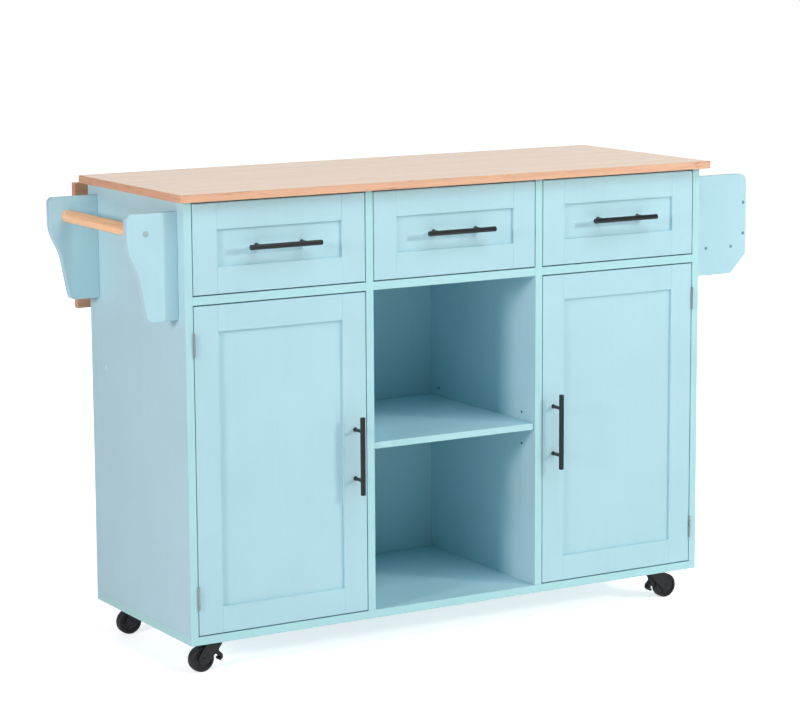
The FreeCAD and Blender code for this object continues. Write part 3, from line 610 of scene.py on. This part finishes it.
def bar_handle(name, node, body, along):
    """A round bar with chamfered ends on two posts with small collars."""
    low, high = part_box(node)
    centre = (low + high) / 2
    bar_centre = Vector((centre.x, low.y + BAR_RADIUS, centre.z))
    half = (high[AXIS[along]] - low[AXIS[along]]) / 2
    handle = Shape().lathe(along, bar_centre, chamfered(half, BAR_RADIUS, 0.0007), 36)
    for side in (-1, 1):
        foot = bar_centre.copy()
        foot[AXIS[along]] += side * POST_SPACING / 2
        reach = high.y - bar_centre.y
        post = [(0, 0), (0, POST_RADIUS), (reach - 0.0022, POST_RADIUS), (reach - 0.0014, POST_COLLAR),
                (reach, POST_COLLAR), (reach, 0)]
        handle.lathe("Y", foot, post, 28)
    piece(name, handle, BLACK, body, [node], ease=0.00025)


def build_drawers():
    for word in ("left", "middle", "right"):
        body = "drawer_" + word
        low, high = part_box(body + "_front")
        frame_boards, panel = framed_front(low, high)
        piece(body + "_frame", frame_boards, PAINT, body, [body + "_front"], ease=0.0005)
        piece(body + "_panel", panel, PAINT, body, ease=0.0003)
        bar_handle(body + "_bar", body + "_handle", body, "X")
        drawer_box(body)


def drawer_box(body):
    low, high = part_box(body + "_box")
    inner_low = low + Vector((BOX_WALL, BOX_WALL, 0))
    inner_high = high - Vector((BOX_WALL, BOX_WALL, 0))
    walls = Shape()
    walls.box(low, (inner_low.x, high.y, high.z), 0, 0, "X")
    walls.box((inner_high.x, low.y, low.z), high, 0, 0, "X")
    walls.box((inner_low.x, low.y, low.z), (inner_high.x, inner_low.y, high.z))
    walls.box((inner_low.x, inner_high.y, low.z), (inner_high.x, high.y, high.z))
    walls.box((inner_low.x - BOX_TUCK, inner_low.y - BOX_TUCK, low.z + BOX_GROOVE),
              (inner_high.x + BOX_TUCK, inner_high.y + BOX_TUCK, low.z + BOX_GROOVE + BOX_BOTTOM))
    piece(body + "_box_boards", walls, FOIL, body, [body + "_box"], ease=0.0008)
    heads = Shape()
    for x, facing in ((low.x, -1), (high.x, 1)):
        for y in (low.y + BOX_WALL / 2, high.y - BOX_WALL / 2):
            for z in (low.z + 0.022, high.z - 0.022):
                cross_head(heads, "X", (x, y, z), facing, 0.0032, 0.0004)
    piece(body + "_box_screws", heads, SCREW, body, ease=0.0001, segments=1)


def cross_head(shape, axis, centre, facing, radius, rise):
    """A shallow screw head with a cross recess, its rim on the surface at centre."""
    across = 0.32 * radius
    profile = [(-facing * 0.0008, radius), (facing * rise * 0.45, radius), (facing * rise, radius * 0.72)]
    head = Shape().lathe(axis, centre, [(-facing * 0.0008, 0)] + profile + [(facing * rise, 0)], 24)
    low, high = Vector(centre), Vector(centre)
    index = AXIS[axis]
    low[index] -= 0.0006 if facing > 0 else rise * 2
    high[index] += rise * 2 if facing > 0 else 0.0006
    recess = Shape()
    for long_axis, short_axis in (((index + 1) % 3, (index + 2) % 3), ((index + 2) % 3, (index + 1) % 3)):
        start, end = low.copy(), high.copy()
        start[long_axis] -= radius * 0.58
        end[long_axis] += radius * 0.58
        start[short_axis] -= across / 2
        end[short_axis] += across / 2
        recess.box(start, end)
    head.carve(recess)
    join(shape, head)


def c_section(shape, wall_x, facing, reach, half, level, run):
    """A folded channel: web on wall_x, flanges reaching the way it faces."""
    back, front = wall_x, wall_x + facing * reach
    inner = wall_x + facing * SLIDE_METAL
    low, high = level - half, level + half
    outline = [(low, back), (high, back), (high, front), (high - SLIDE_METAL, front),
               (high - SLIDE_METAL, inner), (low + SLIDE_METAL, inner), (low + SLIDE_METAL, front),
               (low, front)]
    shape.prism(outline, "Y", run[0], run[1])


def build_slides():
    """Telescopic slides: a channel on the cabinet and a smaller one on the drawer, screwed on."""
    walls = {"left": (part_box("side_panel_left")[1].x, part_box("partition_left")[0].x),
             "middle": (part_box("partition_left")[1].x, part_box("partition_right")[0].x),
             "right": (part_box("partition_right")[1].x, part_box("side_panel_right")[0].x)}
    fixed_low, fixed_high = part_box("drawer_runners")
    level = (fixed_low.z + fixed_high.z) / 2
    fixed = Shape()
    for word, pair in walls.items():
        low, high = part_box("drawer_%s_slides" % word)
        moving = Shape()
        half = (high.z - low.z) / 2
        for wall, facing in zip(pair, (1, -1)):
            c_section(fixed, wall, facing, FIXED_FLANGE, (fixed_high.z - fixed_low.z) / 2, level,
                      (fixed_low.y, fixed_high.y))
            drawer_side = wall + facing * SLIDE_SPACE
            c_section(moving, drawer_side, -facing, MOVING_FLANGE, half, level, (low.y, high.y))
            moving_x = drawer_side - facing * SLIDE_METAL
            fixed_x = wall + facing * SLIDE_METAL
            for y in (low.y + 0.03, (low.y + high.y) / 2, high.y - 0.03):
                cross_head(moving, "X", (moving_x, y, level), -facing, 0.0036, 0.0006)
                cross_head(fixed, "X", (fixed_x, y + 0.012, level), facing, 0.0036, 0.0006)
        piece("drawer_%s_channels" % word, moving, ZINC, "drawer_" + word, ["drawer_%s_slides" % word],
              ease=0.0002, segments=1)
    piece("runner_channels", fixed, ZINC, "root", ["drawer_runners"], ease=0.0002, segments=1)


def hinge_parts(axis_x, side, low_z):
    """(cabinet leaf, door leaf, pin) of one butt hinge, its barrel in five segments."""
    step = HINGE_LENGTH / 5
    parts = []
    for segments, sign in (((0, 2, 4), side), ((1, 3), -side)):
        leaf = Shape()
        x = sorted((axis_x + sign * 0.0001, axis_x + sign * (0.0001 + HINGE_LEAF)))
        near, far = (HINGE_AXIS_Y + reach for reach in HINGE_LEAF_SPAN)
        leaf.box((x[0], near, low_z), (x[1], far, low_z + HINGE_LENGTH))
        near, far = (HINGE_AXIS_Y + reach for reach in KNUCKLE_ARM_SPAN)
        for index in segments:
            bottom = low_z + step * index + KNUCKLE_PLAY
            top = low_z + step * (index + 1) - KNUCKLE_PLAY
            leaf.box((x[0], near, bottom), (x[1], far, top))
            bore = HINGE_PIN_RADIUS + 0.0001
            barrel = [(bottom, bore), (bottom, KNUCKLE_RADIUS - 0.0002), (bottom + 0.0002, KNUCKLE_RADIUS),
                      (top - 0.0002, KNUCKLE_RADIUS), (top, KNUCKLE_RADIUS - 0.0002), (top, bore),
                      (bottom, bore)]
            leaf.lathe("Z", (axis_x, HINGE_AXIS_Y, 0), barrel, 28)
        parts.append(leaf)
    ends = (low_z - 0.0006, low_z + HINGE_LENGTH + 0.0006)
    start, end = low_z + 0.0001, low_z + HINGE_LENGTH - 0.0001
    pin = Shape().lathe("Z", (axis_x, HINGE_AXIS_Y, 0), [
        (ends[0], 0), (ends[0], 0.0012), (start, 0.0016), (start, HINGE_PIN_RADIUS),
        (end, HINGE_PIN_RADIUS), (end, 0.0016), (ends[1], 0.0012), (ends[1], 0)], 24)
    return parts[0], parts[1], pin


def build_doors():
    hinge_low, hinge_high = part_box("hinge_cabinet_leaves")
    levels = (hinge_low.z, hinge_high.z - HINGE_LENGTH)
    catches = Shape()
    for word, side in SIDES:
        body = "door_" + word
        low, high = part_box(body + "_frame")
        frame_boards, panel = framed_front(low, high)
        piece(body + "_stiles_rails", frame_boards, PAINT, body, [body + "_frame"],
              ease=0.0005)
        piece(body + "_infill", panel, PAINT, body, [body + "_panel"], ease=0.0003)
        bar_handle(body + "_bar", body + "_handle", body, "Z")
        axis_x = JOINTS[body + "_hinge"]["pos_m"][0]
        cabinet_leaves, door_leaves = Shape(), Shape()
        for level in levels:
            fixed, moving, pin = hinge_parts(axis_x, side, level)
            join(join(cabinet_leaves, fixed), pin)
            join(door_leaves, moving)
        piece("hinge_fixed_" + word, cabinet_leaves, NICKEL, "root",
              ["hinge_cabinet_leaves"] if side < 0 else (), ease=0.00015, segments=1)
        catch_low, catch_high = solids("door_catches")[0 if side < 0 else 1]
        door_leaves.box((catch_low.x, high.y, high.z - STRIKE_DROP - STRIKE_HEIGHT),
                        (catch_high.x, high.y + STRIKE_METAL, high.z - STRIKE_DROP))
        piece(body + "_metalwork", door_leaves, NICKEL, body, [body + "_fittings"],
              ease=0.00015, segments=1)
        catches.box((catch_low.x, catch_low.y + 0.0002, catch_low.z), catch_high, 0)
        for z in (catch_low.z + 0.003, catch_low.z + 0.0085):
            catches.box((catch_low.x + 0.004, catch_low.y, z),
                        (catch_high.x - 0.004, catch_low.y + 0.004, z + 0.0014), 1)
    piece("magnet_catches", catches, (CATCH, ZINC), "root", ["door_catches"], ease=0.0004)


# --- rail, rack, screws

def towel_outline(low, high):
    """The bracket's side: straight against the cabinet, waisted at the front, (z, x) pairs."""
    inner, outer, bottom, top = high.x, low.x, low.z, high.z
    points = [(bottom, inner), (bottom, inner - 0.062), (bottom + 0.0875, inner - 0.079),
              (bottom + 0.1375, outer), (top, outer), (top, inner)]
    return rounded(points, {1: 0.012, 2: 0.09, 3: 0.08, 4: 0.011}, steps=12)


def spice_outline(low, high):
    inner, outer, bottom, top = low.x, high.x, low.z, high.z
    points = [(bottom, inner), (bottom, outer - 0.039), (bottom + 0.039, outer), (top, outer), (top, inner)]
    return rounded(points, {1: 0.009, 2: 0.009, 3: 0.018}, steps=10)


def build_racks():
    for end in ("front", "rear"):
        low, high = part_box("towel_bracket_" + end)
        bracket = Shape().prism(towel_outline(low, high), "Y", low.y, high.y)
        piece("towel_bracket_%s_board" % end, bracket, PAINT, "root", ["towel_bracket_" + end],
              ease=0.0012, segments=3)
        low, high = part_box("spice_end_" + end)
        cheek = Shape().prism(spice_outline(low, high), "Y", low.y, high.y)
        piece("spice_end_%s_board" % end, cheek, PAINT, "root", ["spice_end_" + end],
              ease=0.0009, segments=3)
    low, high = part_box("towel_rod")
    radius = (high.x - low.x) / 2
    centre = (low + high) / 2
    half = (high.y - low.y) / 2
    rod = Shape().lathe("Y", centre, chamfered(half, radius, 0.0004), 56)
    piece("towel_rod_turned", rod, ROD_WOOD, "root", ["towel_rod"], ease=0.0001, segments=1)
    board("spice_bottom_board", "spice_bottom", "Z")
    rails = Shape()
    for low, high in solids("spice_rails"):
        rails.box(low, high, 0, 1, "X")
    piece("spice_rail_boards", rails, (PAINT, BAND), "root", ["spice_rails"])


def build_screws():
    caps, rod_heads, heads = Shape(), Shape(), Shape()
    for low, high in solids("cabinet_screws"):
        size = high - low
        centre = (low + high) / 2
        if size.x > size.y:
            facing = 1 if centre.x > 0 else -1
            face_x = (high.x if facing > 0 else low.x) - facing * 0.0006
            cap = [(-facing * 0.0008, 0), (-facing * 0.0008, 0.004), (facing * 0.0003, 0.004),
                   (facing * 0.0006, 0.0034), (facing * 0.0006, 0)]
            caps.lathe("X", (face_x, centre.y, centre.z), cap, 28)
        else:
            facing = -1 if centre.y < (CAD_BOX[0].y + CAD_BOX[1].y) / 2 else 1
            face_y = (high.y if facing > 0 else low.y) - facing * 0.0006
            radius = size.x / 2
            target = rod_heads if radius > ROD_HEAD_LIMIT else heads
            cross_head(target, "Y", (centre.x, face_y, centre.z), facing, radius, 0.0006)
    piece("side_caps", caps, PALE_CAP_AND_HIGHLIGHT, "root", ["cabinet_screws"], ease=0.0001, segments=1)
    piece("rod_screws", rod_heads, ROD_SCREW_PAINTED_REFLECTION, "root", ease=0.0001, segments=1)
    piece("rack_screws", heads, RACK_SCREW, "root", ease=0.0001, segments=1)


# --- folding brackets

def build_brackets():
    plates, pins, arms = Shape(), Shape(), Shape()
    leaf_axis = JOINTS["leaf_hinge"]["pos_m"]
    for (low, high), (word, _) in zip(solids("leaf_bracket_plates"), SIDES):
        brace_axis = JOINTS["brace_%s_hinge" % word]["pos_m"]
        centre = brace_axis[0]
        radii = {0: 0.004, 1: 0.004, 2: 0.002, 3: 0.002}
        outline = rounded(rectangle(low.x, low.z, high.x, high.z), radii, 6)
        plates.prism(swapped(outline), "Y", low.y, low.y + BRACKET_METAL)
        for level in (leaf_axis[2], brace_axis[2]):
            for facing in (-1, 1):
                x = sorted((centre + facing * 0.006, centre + facing * 0.008))
                ear = [(low.y, level - EAR_RADIUS), (leaf_axis[1], level - EAR_RADIUS)]
                ear += [(leaf_axis[1] + EAR_RADIUS * math.sin(math.pi * step / 12),
                         level - EAR_RADIUS * math.cos(math.pi * step / 12)) for step in range(1, 12)]
                ear += [(leaf_axis[1], level + EAR_RADIUS), (low.y, level + EAR_RADIUS)]
                plates.prism(ear, "X", x[0], x[1])
        middle = (leaf_axis[2] + brace_axis[2]) / 2
        for z in (low.z + 0.008, middle - 0.012, middle + 0.012):
            cross_head(plates, "Y", (centre, low.y + BRACKET_METAL, z), 1, 0.0038, 0.0007)
        for level, reach in ((leaf_axis[2], 0.013), (brace_axis[2], 0.0086)):
            rim = 0.0006
            tip = PIN_RADIUS - 0.0004
            head = PIN_RADIUS + (0.0008 if reach > 0.01 else 0.0)
            pins.lathe("X", (centre, leaf_axis[1], level), [
                (-reach, 0), (-reach, tip), (-reach + rim, head), (-reach + 2 * rim, PIN_RADIUS),
                (reach - 2 * rim, PIN_RADIUS), (reach - rim, head), (reach, tip), (reach, 0)], 24)
    for (low, high), (word, _) in zip(solids("leaf_arms"), SIDES):
        brace_axis = JOINTS["brace_%s_hinge" % word]["pos_m"]
        bracket_arm(arms, low, high, leaf_axis, brace_axis)
        brace_link(word, leaf_axis, brace_axis)
    piece("bracket_plates", plates, WHITE_STEEL, "root", ["leaf_bracket_plates"],
          ease=0.0003)
    piece("bracket_pins", pins, ZINC, "root", ["leaf_bracket_pins"], ease=0.0001, segments=1)
    piece("bracket_arms", arms, WHITE_STEEL, "leaf", ["leaf_arms"], ease=0.0003)


def bracket_arm(arms, low, high, leaf_axis, brace_axis):
    """A folded channel under the leaf with a rounded nose and a long slot in each web."""
    centre = brace_axis[0]
    channel = Shape()
    for facing in (-1, 1):
        x = sorted((centre + facing * 0.009, centre + facing * 0.011))
        web = rounded(rectangle(low.y, low.z, high.y, high.z), {0: 0.005, 3: 0.004}, 6)
        channel.prism(web, "X", x[0], x[1])
    channel.box((centre - 0.0105, high.y - BRACKET_METAL, low.z), (centre + 0.0105, high.y - 0.00005, high.z))
    reach = brace_axis[2] - BRACE_LENGTH
    slot = stadium(leaf_axis[1], reach - 0.003, leaf_axis[2] - 0.098, 0.003)
    channel.carve(Shape().prism(slot, "X", centre - 0.014, centre + 0.014))
    for z in (low.z + 0.02, (low.z + high.z) / 2, high.z - 0.03):
        cross_head(channel, "Y", (centre, high.y - BRACKET_METAL, z), -1, 0.0034, 0.0006)
    join(arms, channel)


def brace_link(word, leaf_axis, brace_axis):
    """A flat link with round ends, lightened along its middle, and a stud for the arm's slot."""
    centre = brace_axis[0]
    low_axis = brace_axis[2] - BRACE_LENGTH
    body_shape = Shape().prism(stadium(leaf_axis[1], low_axis, brace_axis[2], 0.0048), "X",
                               centre - 0.005, centre + 0.005)
    cutter = Shape()
    for facing in (-1, 1):
        x = sorted((centre + facing * 0.0032, centre + facing * 0.006))
        cutter.prism(stadium(leaf_axis[1], low_axis + 0.012, brace_axis[2] - 0.012, 0.0024), "X", x[0], x[1])
    cutter.prism(disc(leaf_axis[1], brace_axis[2], PIN_RADIUS + 0.00005), "X", centre - 0.006, centre + 0.006)
    body_shape.carve(cutter)
    body_shape.lathe("X", (centre, leaf_axis[1], low_axis), chamfered(0.0084, PIN_RADIUS, 0.0004), 24)
    piece("brace_link_" + word, body_shape, WHITE_STEEL, "brace_" + word, ["leaf_brace_" + word],
          ease=0.0003)


# --- casters

# (x, z) from the kingpin and the top of the mounting plate, in metres.
CHEEK = [(-0.016, -0.0085), (-0.016, -0.0135), (-0.0065, -0.027), (0.015, -0.048), (0.024, -0.05),
         (0.0318, -0.048), (0.0348, -0.041), (0.0308, -0.03), (0.017, -0.0125), (0.017, -0.0085)]
CLAW = [(-0.011, -0.016), (-0.011, -0.028), (-0.019, -0.036), (-0.0195, -0.043), (-0.015, -0.048),
        (-0.011, -0.0475), (-0.0115, -0.0435), (-0.0145, -0.0425), (-0.014, -0.0385), (-0.003, -0.034),
        (-0.003, -0.016)]


def caster_fork(trail, axle_z):
    """Two tapered cheeks under a rounded crown, and the axle with its two heads."""
    fork = Shape()
    outline = rounded(CHEEK, {0: 0.0012, 1: 0.002, 2: 0.012, 3: 0.006, 4: 0.006, 5: 0.005, 6: 0.004, 7: 0.02,
                              8: 0.003, 9: 0.0012}, 5)
    for side in (-1, 1):
        y = sorted((side * 0.01, side * 0.0125))
        fork.prism(swapped(outline), "Y", y[0], y[1])
    crown = rounded(rectangle(-0.016, -0.0125, 0.017, 0.0125), {0: 0.005, 1: 0.003, 2: 0.003, 3: 0.005}, 6)
    fork.prism(crown, "Z", -0.012, -0.0085)
    bore = Shape().lathe("Z", (0, 0, 0), [(-0.02, 0), (-0.02, 0.00405), (0, 0.00405), (0, 0)], 24)
    fork.carve(bore)
    for side in (-1, 1):
        profile = [(side * 0.012, 0.0), (side * 0.012, 0.0062), (side * 0.0131, 0.006),
                   (side * 0.0133, 0.0034), (side * 0.014, 0.003), (side * 0.014, 0.0)]
        fork.lathe("Y", (trail, 0, axle_z), profile, 28)
    fork.lathe("Y", (trail, 0, axle_z), [(-0.0125, 0), (-0.0125, 0.003), (0.0125, 0.003), (0.0125, 0)], 24)
    return fork


def caster_wheel(trail, axle_z):
    """A moulded wheel: crowned tread with a parting line, recessed web with ribs, and a hub."""
    half, radius = 0.009, 0.025
    tread = [(half, radius - 0.0032), (half - 0.0007, radius - 0.0012), (half - 0.0022, radius - 0.0003),
             (half * 0.45, radius), (0.0004, radius), (0.0002, radius - 0.0003)]
    side = [(half, 0.0035), (half, 0.0068), (half - 0.0016, 0.0074), (half - 0.002, 0.018),
            (half - 0.0004, 0.0188), (half, 0.0195)]
    right = side + tread
    left = [(-position, size) for position, size in reversed(right)]
    bored = [(half, 0.00305)] + right + left + [(-half, 0.00305), (half, 0.00305)]
    wheel = Shape().lathe("Y", (trail, 0, axle_z), bored, 56)
    for step in range(6):
        angle = math.pi / 3 * step
        for facing in (-1, 1):
            rib = Shape()
            y = sorted((facing * (half - 0.003), facing * (half - 0.0006)))
            rib.box((0.0066, y[0], -0.0008), (0.0184, y[1], 0.0008))
            rib.move(Matrix.Translation((trail, 0, axle_z)) @ Matrix.Rotation(angle, 4, "Y"))
            join(wheel, rib)
    return wheel


def brake_pedal():
    """The claw of the brake, with tread ridges across its toe and its pivot pin."""
    outline = rounded(CLAW, {1: 0.004, 2: 0.004, 3: 0.003, 4: 0.002, 5: 0.0012, 6: 0.001, 7: 0.0012, 8: 0.002,
                             9: 0.006}, 5)
    pedal = Shape().prism(swapped(outline), "Y", -0.008, 0.008)
    ridge = [(-0.007, 0), (-0.007, 0.0005), (0.007, 0.0005), (0.007, 0)]
    for z in (-0.0375, -0.0395, -0.0415):
        pedal.lathe("Y", (-0.0193, 0, z), ridge, 12)
    pedal.lathe("Y", (-0.007, 0, -0.019), [(-0.0124, 0), (-0.0124, 0.0018), (-0.012, 0.002),
                                            (0.012, 0.002), (0.0124, 0.0018), (0.0124, 0)], 20)
    return pedal


def caster_mount(plate, x, y):
    """The screwed plate with its ball-race boss and riveted kingpin."""
    half = 0.025
    outline = rounded(rectangle(x - half, y - half, x + half, y + half), dict.fromkeys(range(4), 0.006), 6)
    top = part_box("caster_plates")[1].z
    plate.prism(outline, "Z", top - 0.0025, top)
    for side_x in (-1, 1):
        for side_y in (-1, 1):
            place = (x + side_x * 0.019, y + side_y * 0.019, top - 0.0025)
            cross_head(plate, "Z", place, -1, 0.0036, 0.0012)
    race = [(-0.0025, 0.0), (-0.0025, 0.014), (-0.004, 0.014), (-0.0052, 0.0128), (-0.0064, 0.014),
            (-0.0076, 0.014), (-0.0083, 0.0132), (-0.0083, 0.0)]
    plate.lathe("Z", (x, y, top), race, 40)
    pin = [(-0.008, 0), (-0.008, 0.004), (-0.0123, 0.004), (-0.0123, 0.0058), (-0.0136, 0.0058),
           (-0.0145, 0.004), (-0.0145, 0)]
    plate.lathe("Z", (x, y, top), pin, 28)


def build_casters():
    plates = Shape()
    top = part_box("caster_plates")[1].z
    for end in ("front", "rear"):
        for word, side in SIDES:
            name = end + "_" + word
            swivel = Vector(JOINTS["swivel_%s_turn" % name]["pos_m"])
            wheel_axis = Vector(JOINTS["wheel_%s_roll" % name]["pos_m"])
            trail = abs(wheel_axis.x - swivel.x)
            axle_z = wheel_axis.z - top
            place = Matrix.Translation((swivel.x, swivel.y, top))
            if side < 0:
                place = place @ Matrix.Rotation(math.pi, 4, "Z")
            caster_mount(plates, swivel.x, swivel.y)
            piece("fork_" + name, caster_fork(trail, axle_z).move(place), CASTER_PLASTIC, "swivel_" + name,
                  ["caster_fork_" + name], ease=0.0004)
            piece("wheel_%s_moulded" % name, caster_wheel(trail, axle_z).move(place), TREAD, "wheel_" + name,
                  ["caster_wheel_" + name], ease=0.0002, segments=1)
            if end == "front":
                piece("pedal_%s_claw" % name, brake_pedal().move(place), CASTER_PLASTIC, "pedal_" + name,
                      ["brake_pedal_" + name], ease=0.0004)
    piece("caster_mounts", plates, CASTER_STEEL, "root", ["caster_plates"], ease=0.0003)


# --- studio, camera

def area_light(name, azimuth, elevation, distance, size, power, colour, aim, mirrored=True):
    """A soft light: azimuth is measured from the front towards the right, in degrees.

    A light that is not mirrored shows in no glossy surface."""
    turn, rise = math.radians(azimuth), math.radians(elevation)
    way = Vector((math.sin(turn) * math.cos(rise), -math.cos(turn) * math.cos(rise), math.sin(rise)))
    light = bpy.data.lights.new(name, "AREA")
    light.shape = "RECTANGLE"
    light.size, light.size_y = size
    light.energy = power
    light.color = colour
    holder = bpy.data.objects.new(name, light)
    holder.location = aim + way * distance
    holder.rotation_mode = "QUATERNION"
    holder.rotation_quaternion = (-way).to_track_quat("-Z", "Y")
    holder.visible_camera = False
    holder.visible_glossy = mirrored
    bpy.context.scene.collection.objects.link(holder)


def build_floor():
    """A pale floor: it glows weakly, and more strongly to camera rays, which grows away from the origin."""
    floor_mesh = bpy.data.meshes.new("studio_floor")
    reach = 14.0
    corners = [(x, y, 0) for x, y in rectangle(-reach, -reach, reach, reach)]
    floor_mesh.from_pydata(corners, [], [(0, 1, 2, 3)])
    finish = Finish("floor_pale", 0.9, specular=0.1)
    set_inputs(finish.shader, Base_Color=(0.93, 0.93, 0.93, 1), Emission_Color=(1, 1, 1, 1))
    distance = finish.add("ShaderNodeVectorMath", operation="LENGTH")
    finish.link(finish.place.outputs["Object"], distance.inputs[0])
    glow = finish.add("ShaderNodeMapRange", interpolation_type="SMOOTHSTEP")
    set_inputs(glow, From_Min=0.6, From_Max=1.7, To_Min=0.6, To_Max=1.0)
    finish.link(distance.outputs["Value"], glow.inputs["Value"])
    path = finish.add("ShaderNodeLightPath")
    seen = finish.add("ShaderNodeMix", data_type="FLOAT")
    seen.inputs[2].default_value = 0.1
    finish.link(path.outputs["Is Camera Ray"], seen.inputs[0])
    finish.link(glow.outputs["Result"], seen.inputs[3])
    finish.link(seen.outputs[0], finish.shader.inputs["Emission Strength"])
    floor_mesh.materials.append(finish.material)
    floor = bpy.data.objects.new("studio_floor", floor_mesh)
    bpy.context.scene.collection.objects.link(floor)


def build_lights():
    centre = (CAD_BOX[0] + CAD_BOX[1]) / 2
    area_light("key", 40, 18, 5.0, (0.5, 0.5), 98, (1.0, 0.855, 0.785), centre, mirrored=False)
    area_light("side", -72, 14, 4.5, (0.7, 0.7), 88, (1.0, 0.78, 0.77), centre)
    area_light("top", 8, 51, 4.2, (2.6, 2.0), 74, (0.91, 0.94, 0.97), centre)
    area_light("wall", 150, 12, 6.0, (8.0, 4.5), 165, (1.0, 0.95, 0.9), centre)


def build_world():
    """A dim cool fill light; camera rays see a white backdrop instead."""
    world = bpy.data.worlds.new("studio")
    bpy.context.scene.world = world
    world.use_nodes = True
    nodes, links = world.node_tree.nodes, world.node_tree.links
    fill = nodes["Background"]
    set_inputs(fill, Color=(0.74, 0.88, 1.0, 1), Strength=0.186)
    backdrop = nodes.new("ShaderNodeBackground")
    set_inputs(backdrop, Color=(1, 1, 1, 1), Strength=1.0)
    path = nodes.new("ShaderNodeLightPath")
    mixed = nodes.new("ShaderNodeMixShader")
    links.new(path.outputs["Is Camera Ray"], mixed.inputs["Fac"])
    links.new(fill.outputs["Background"], mixed.inputs[1])
    links.new(backdrop.outputs["Background"], mixed.inputs[2])
    links.new(mixed.outputs["Shader"], nodes["World Output"].inputs["Surface"])
    bpy.context.scene.view_settings.view_transform = "Standard"
    bpy.context.scene.view_settings.look = "None"


CAMERA_PLACE = (-2.7869, -4.6982, 1.4429)
CAMERA_ANGLES = (30.51, 9.41, -0.34)
CAMERA_LENS = 122.79


def build_camera():
    """A camera turned right by its yaw, down by its pitch and anticlockwise by its roll, in degrees."""
    yaw, pitch, roll = (math.radians(angle) for angle in CAMERA_ANGLES)
    turn = (Matrix.Rotation(-yaw, 4, "Z") @ Matrix.Rotation(math.pi / 2 - pitch, 4, "X")
            @ Matrix.Rotation(roll, 4, "Z"))
    camera = bpy.data.cameras.new("camera")
    camera.sensor_width = 36
    camera.lens = CAMERA_LENS
    holder = bpy.data.objects.new("camera", camera)
    holder.matrix_world = Matrix.Translation(CAMERA_PLACE) @ turn
    camera.clip_end = 100
    bpy.context.scene.collection.objects.link(holder)
    bpy.context.scene.camera = holder


build_camera()
build_floor()
build_lights()
build_world()
build_cabinet()
build_worktop()
build_shelf_pins()
build_drawers()
build_slides()
build_doors()
build_racks()
build_screws()
build_brackets()
build_casters()
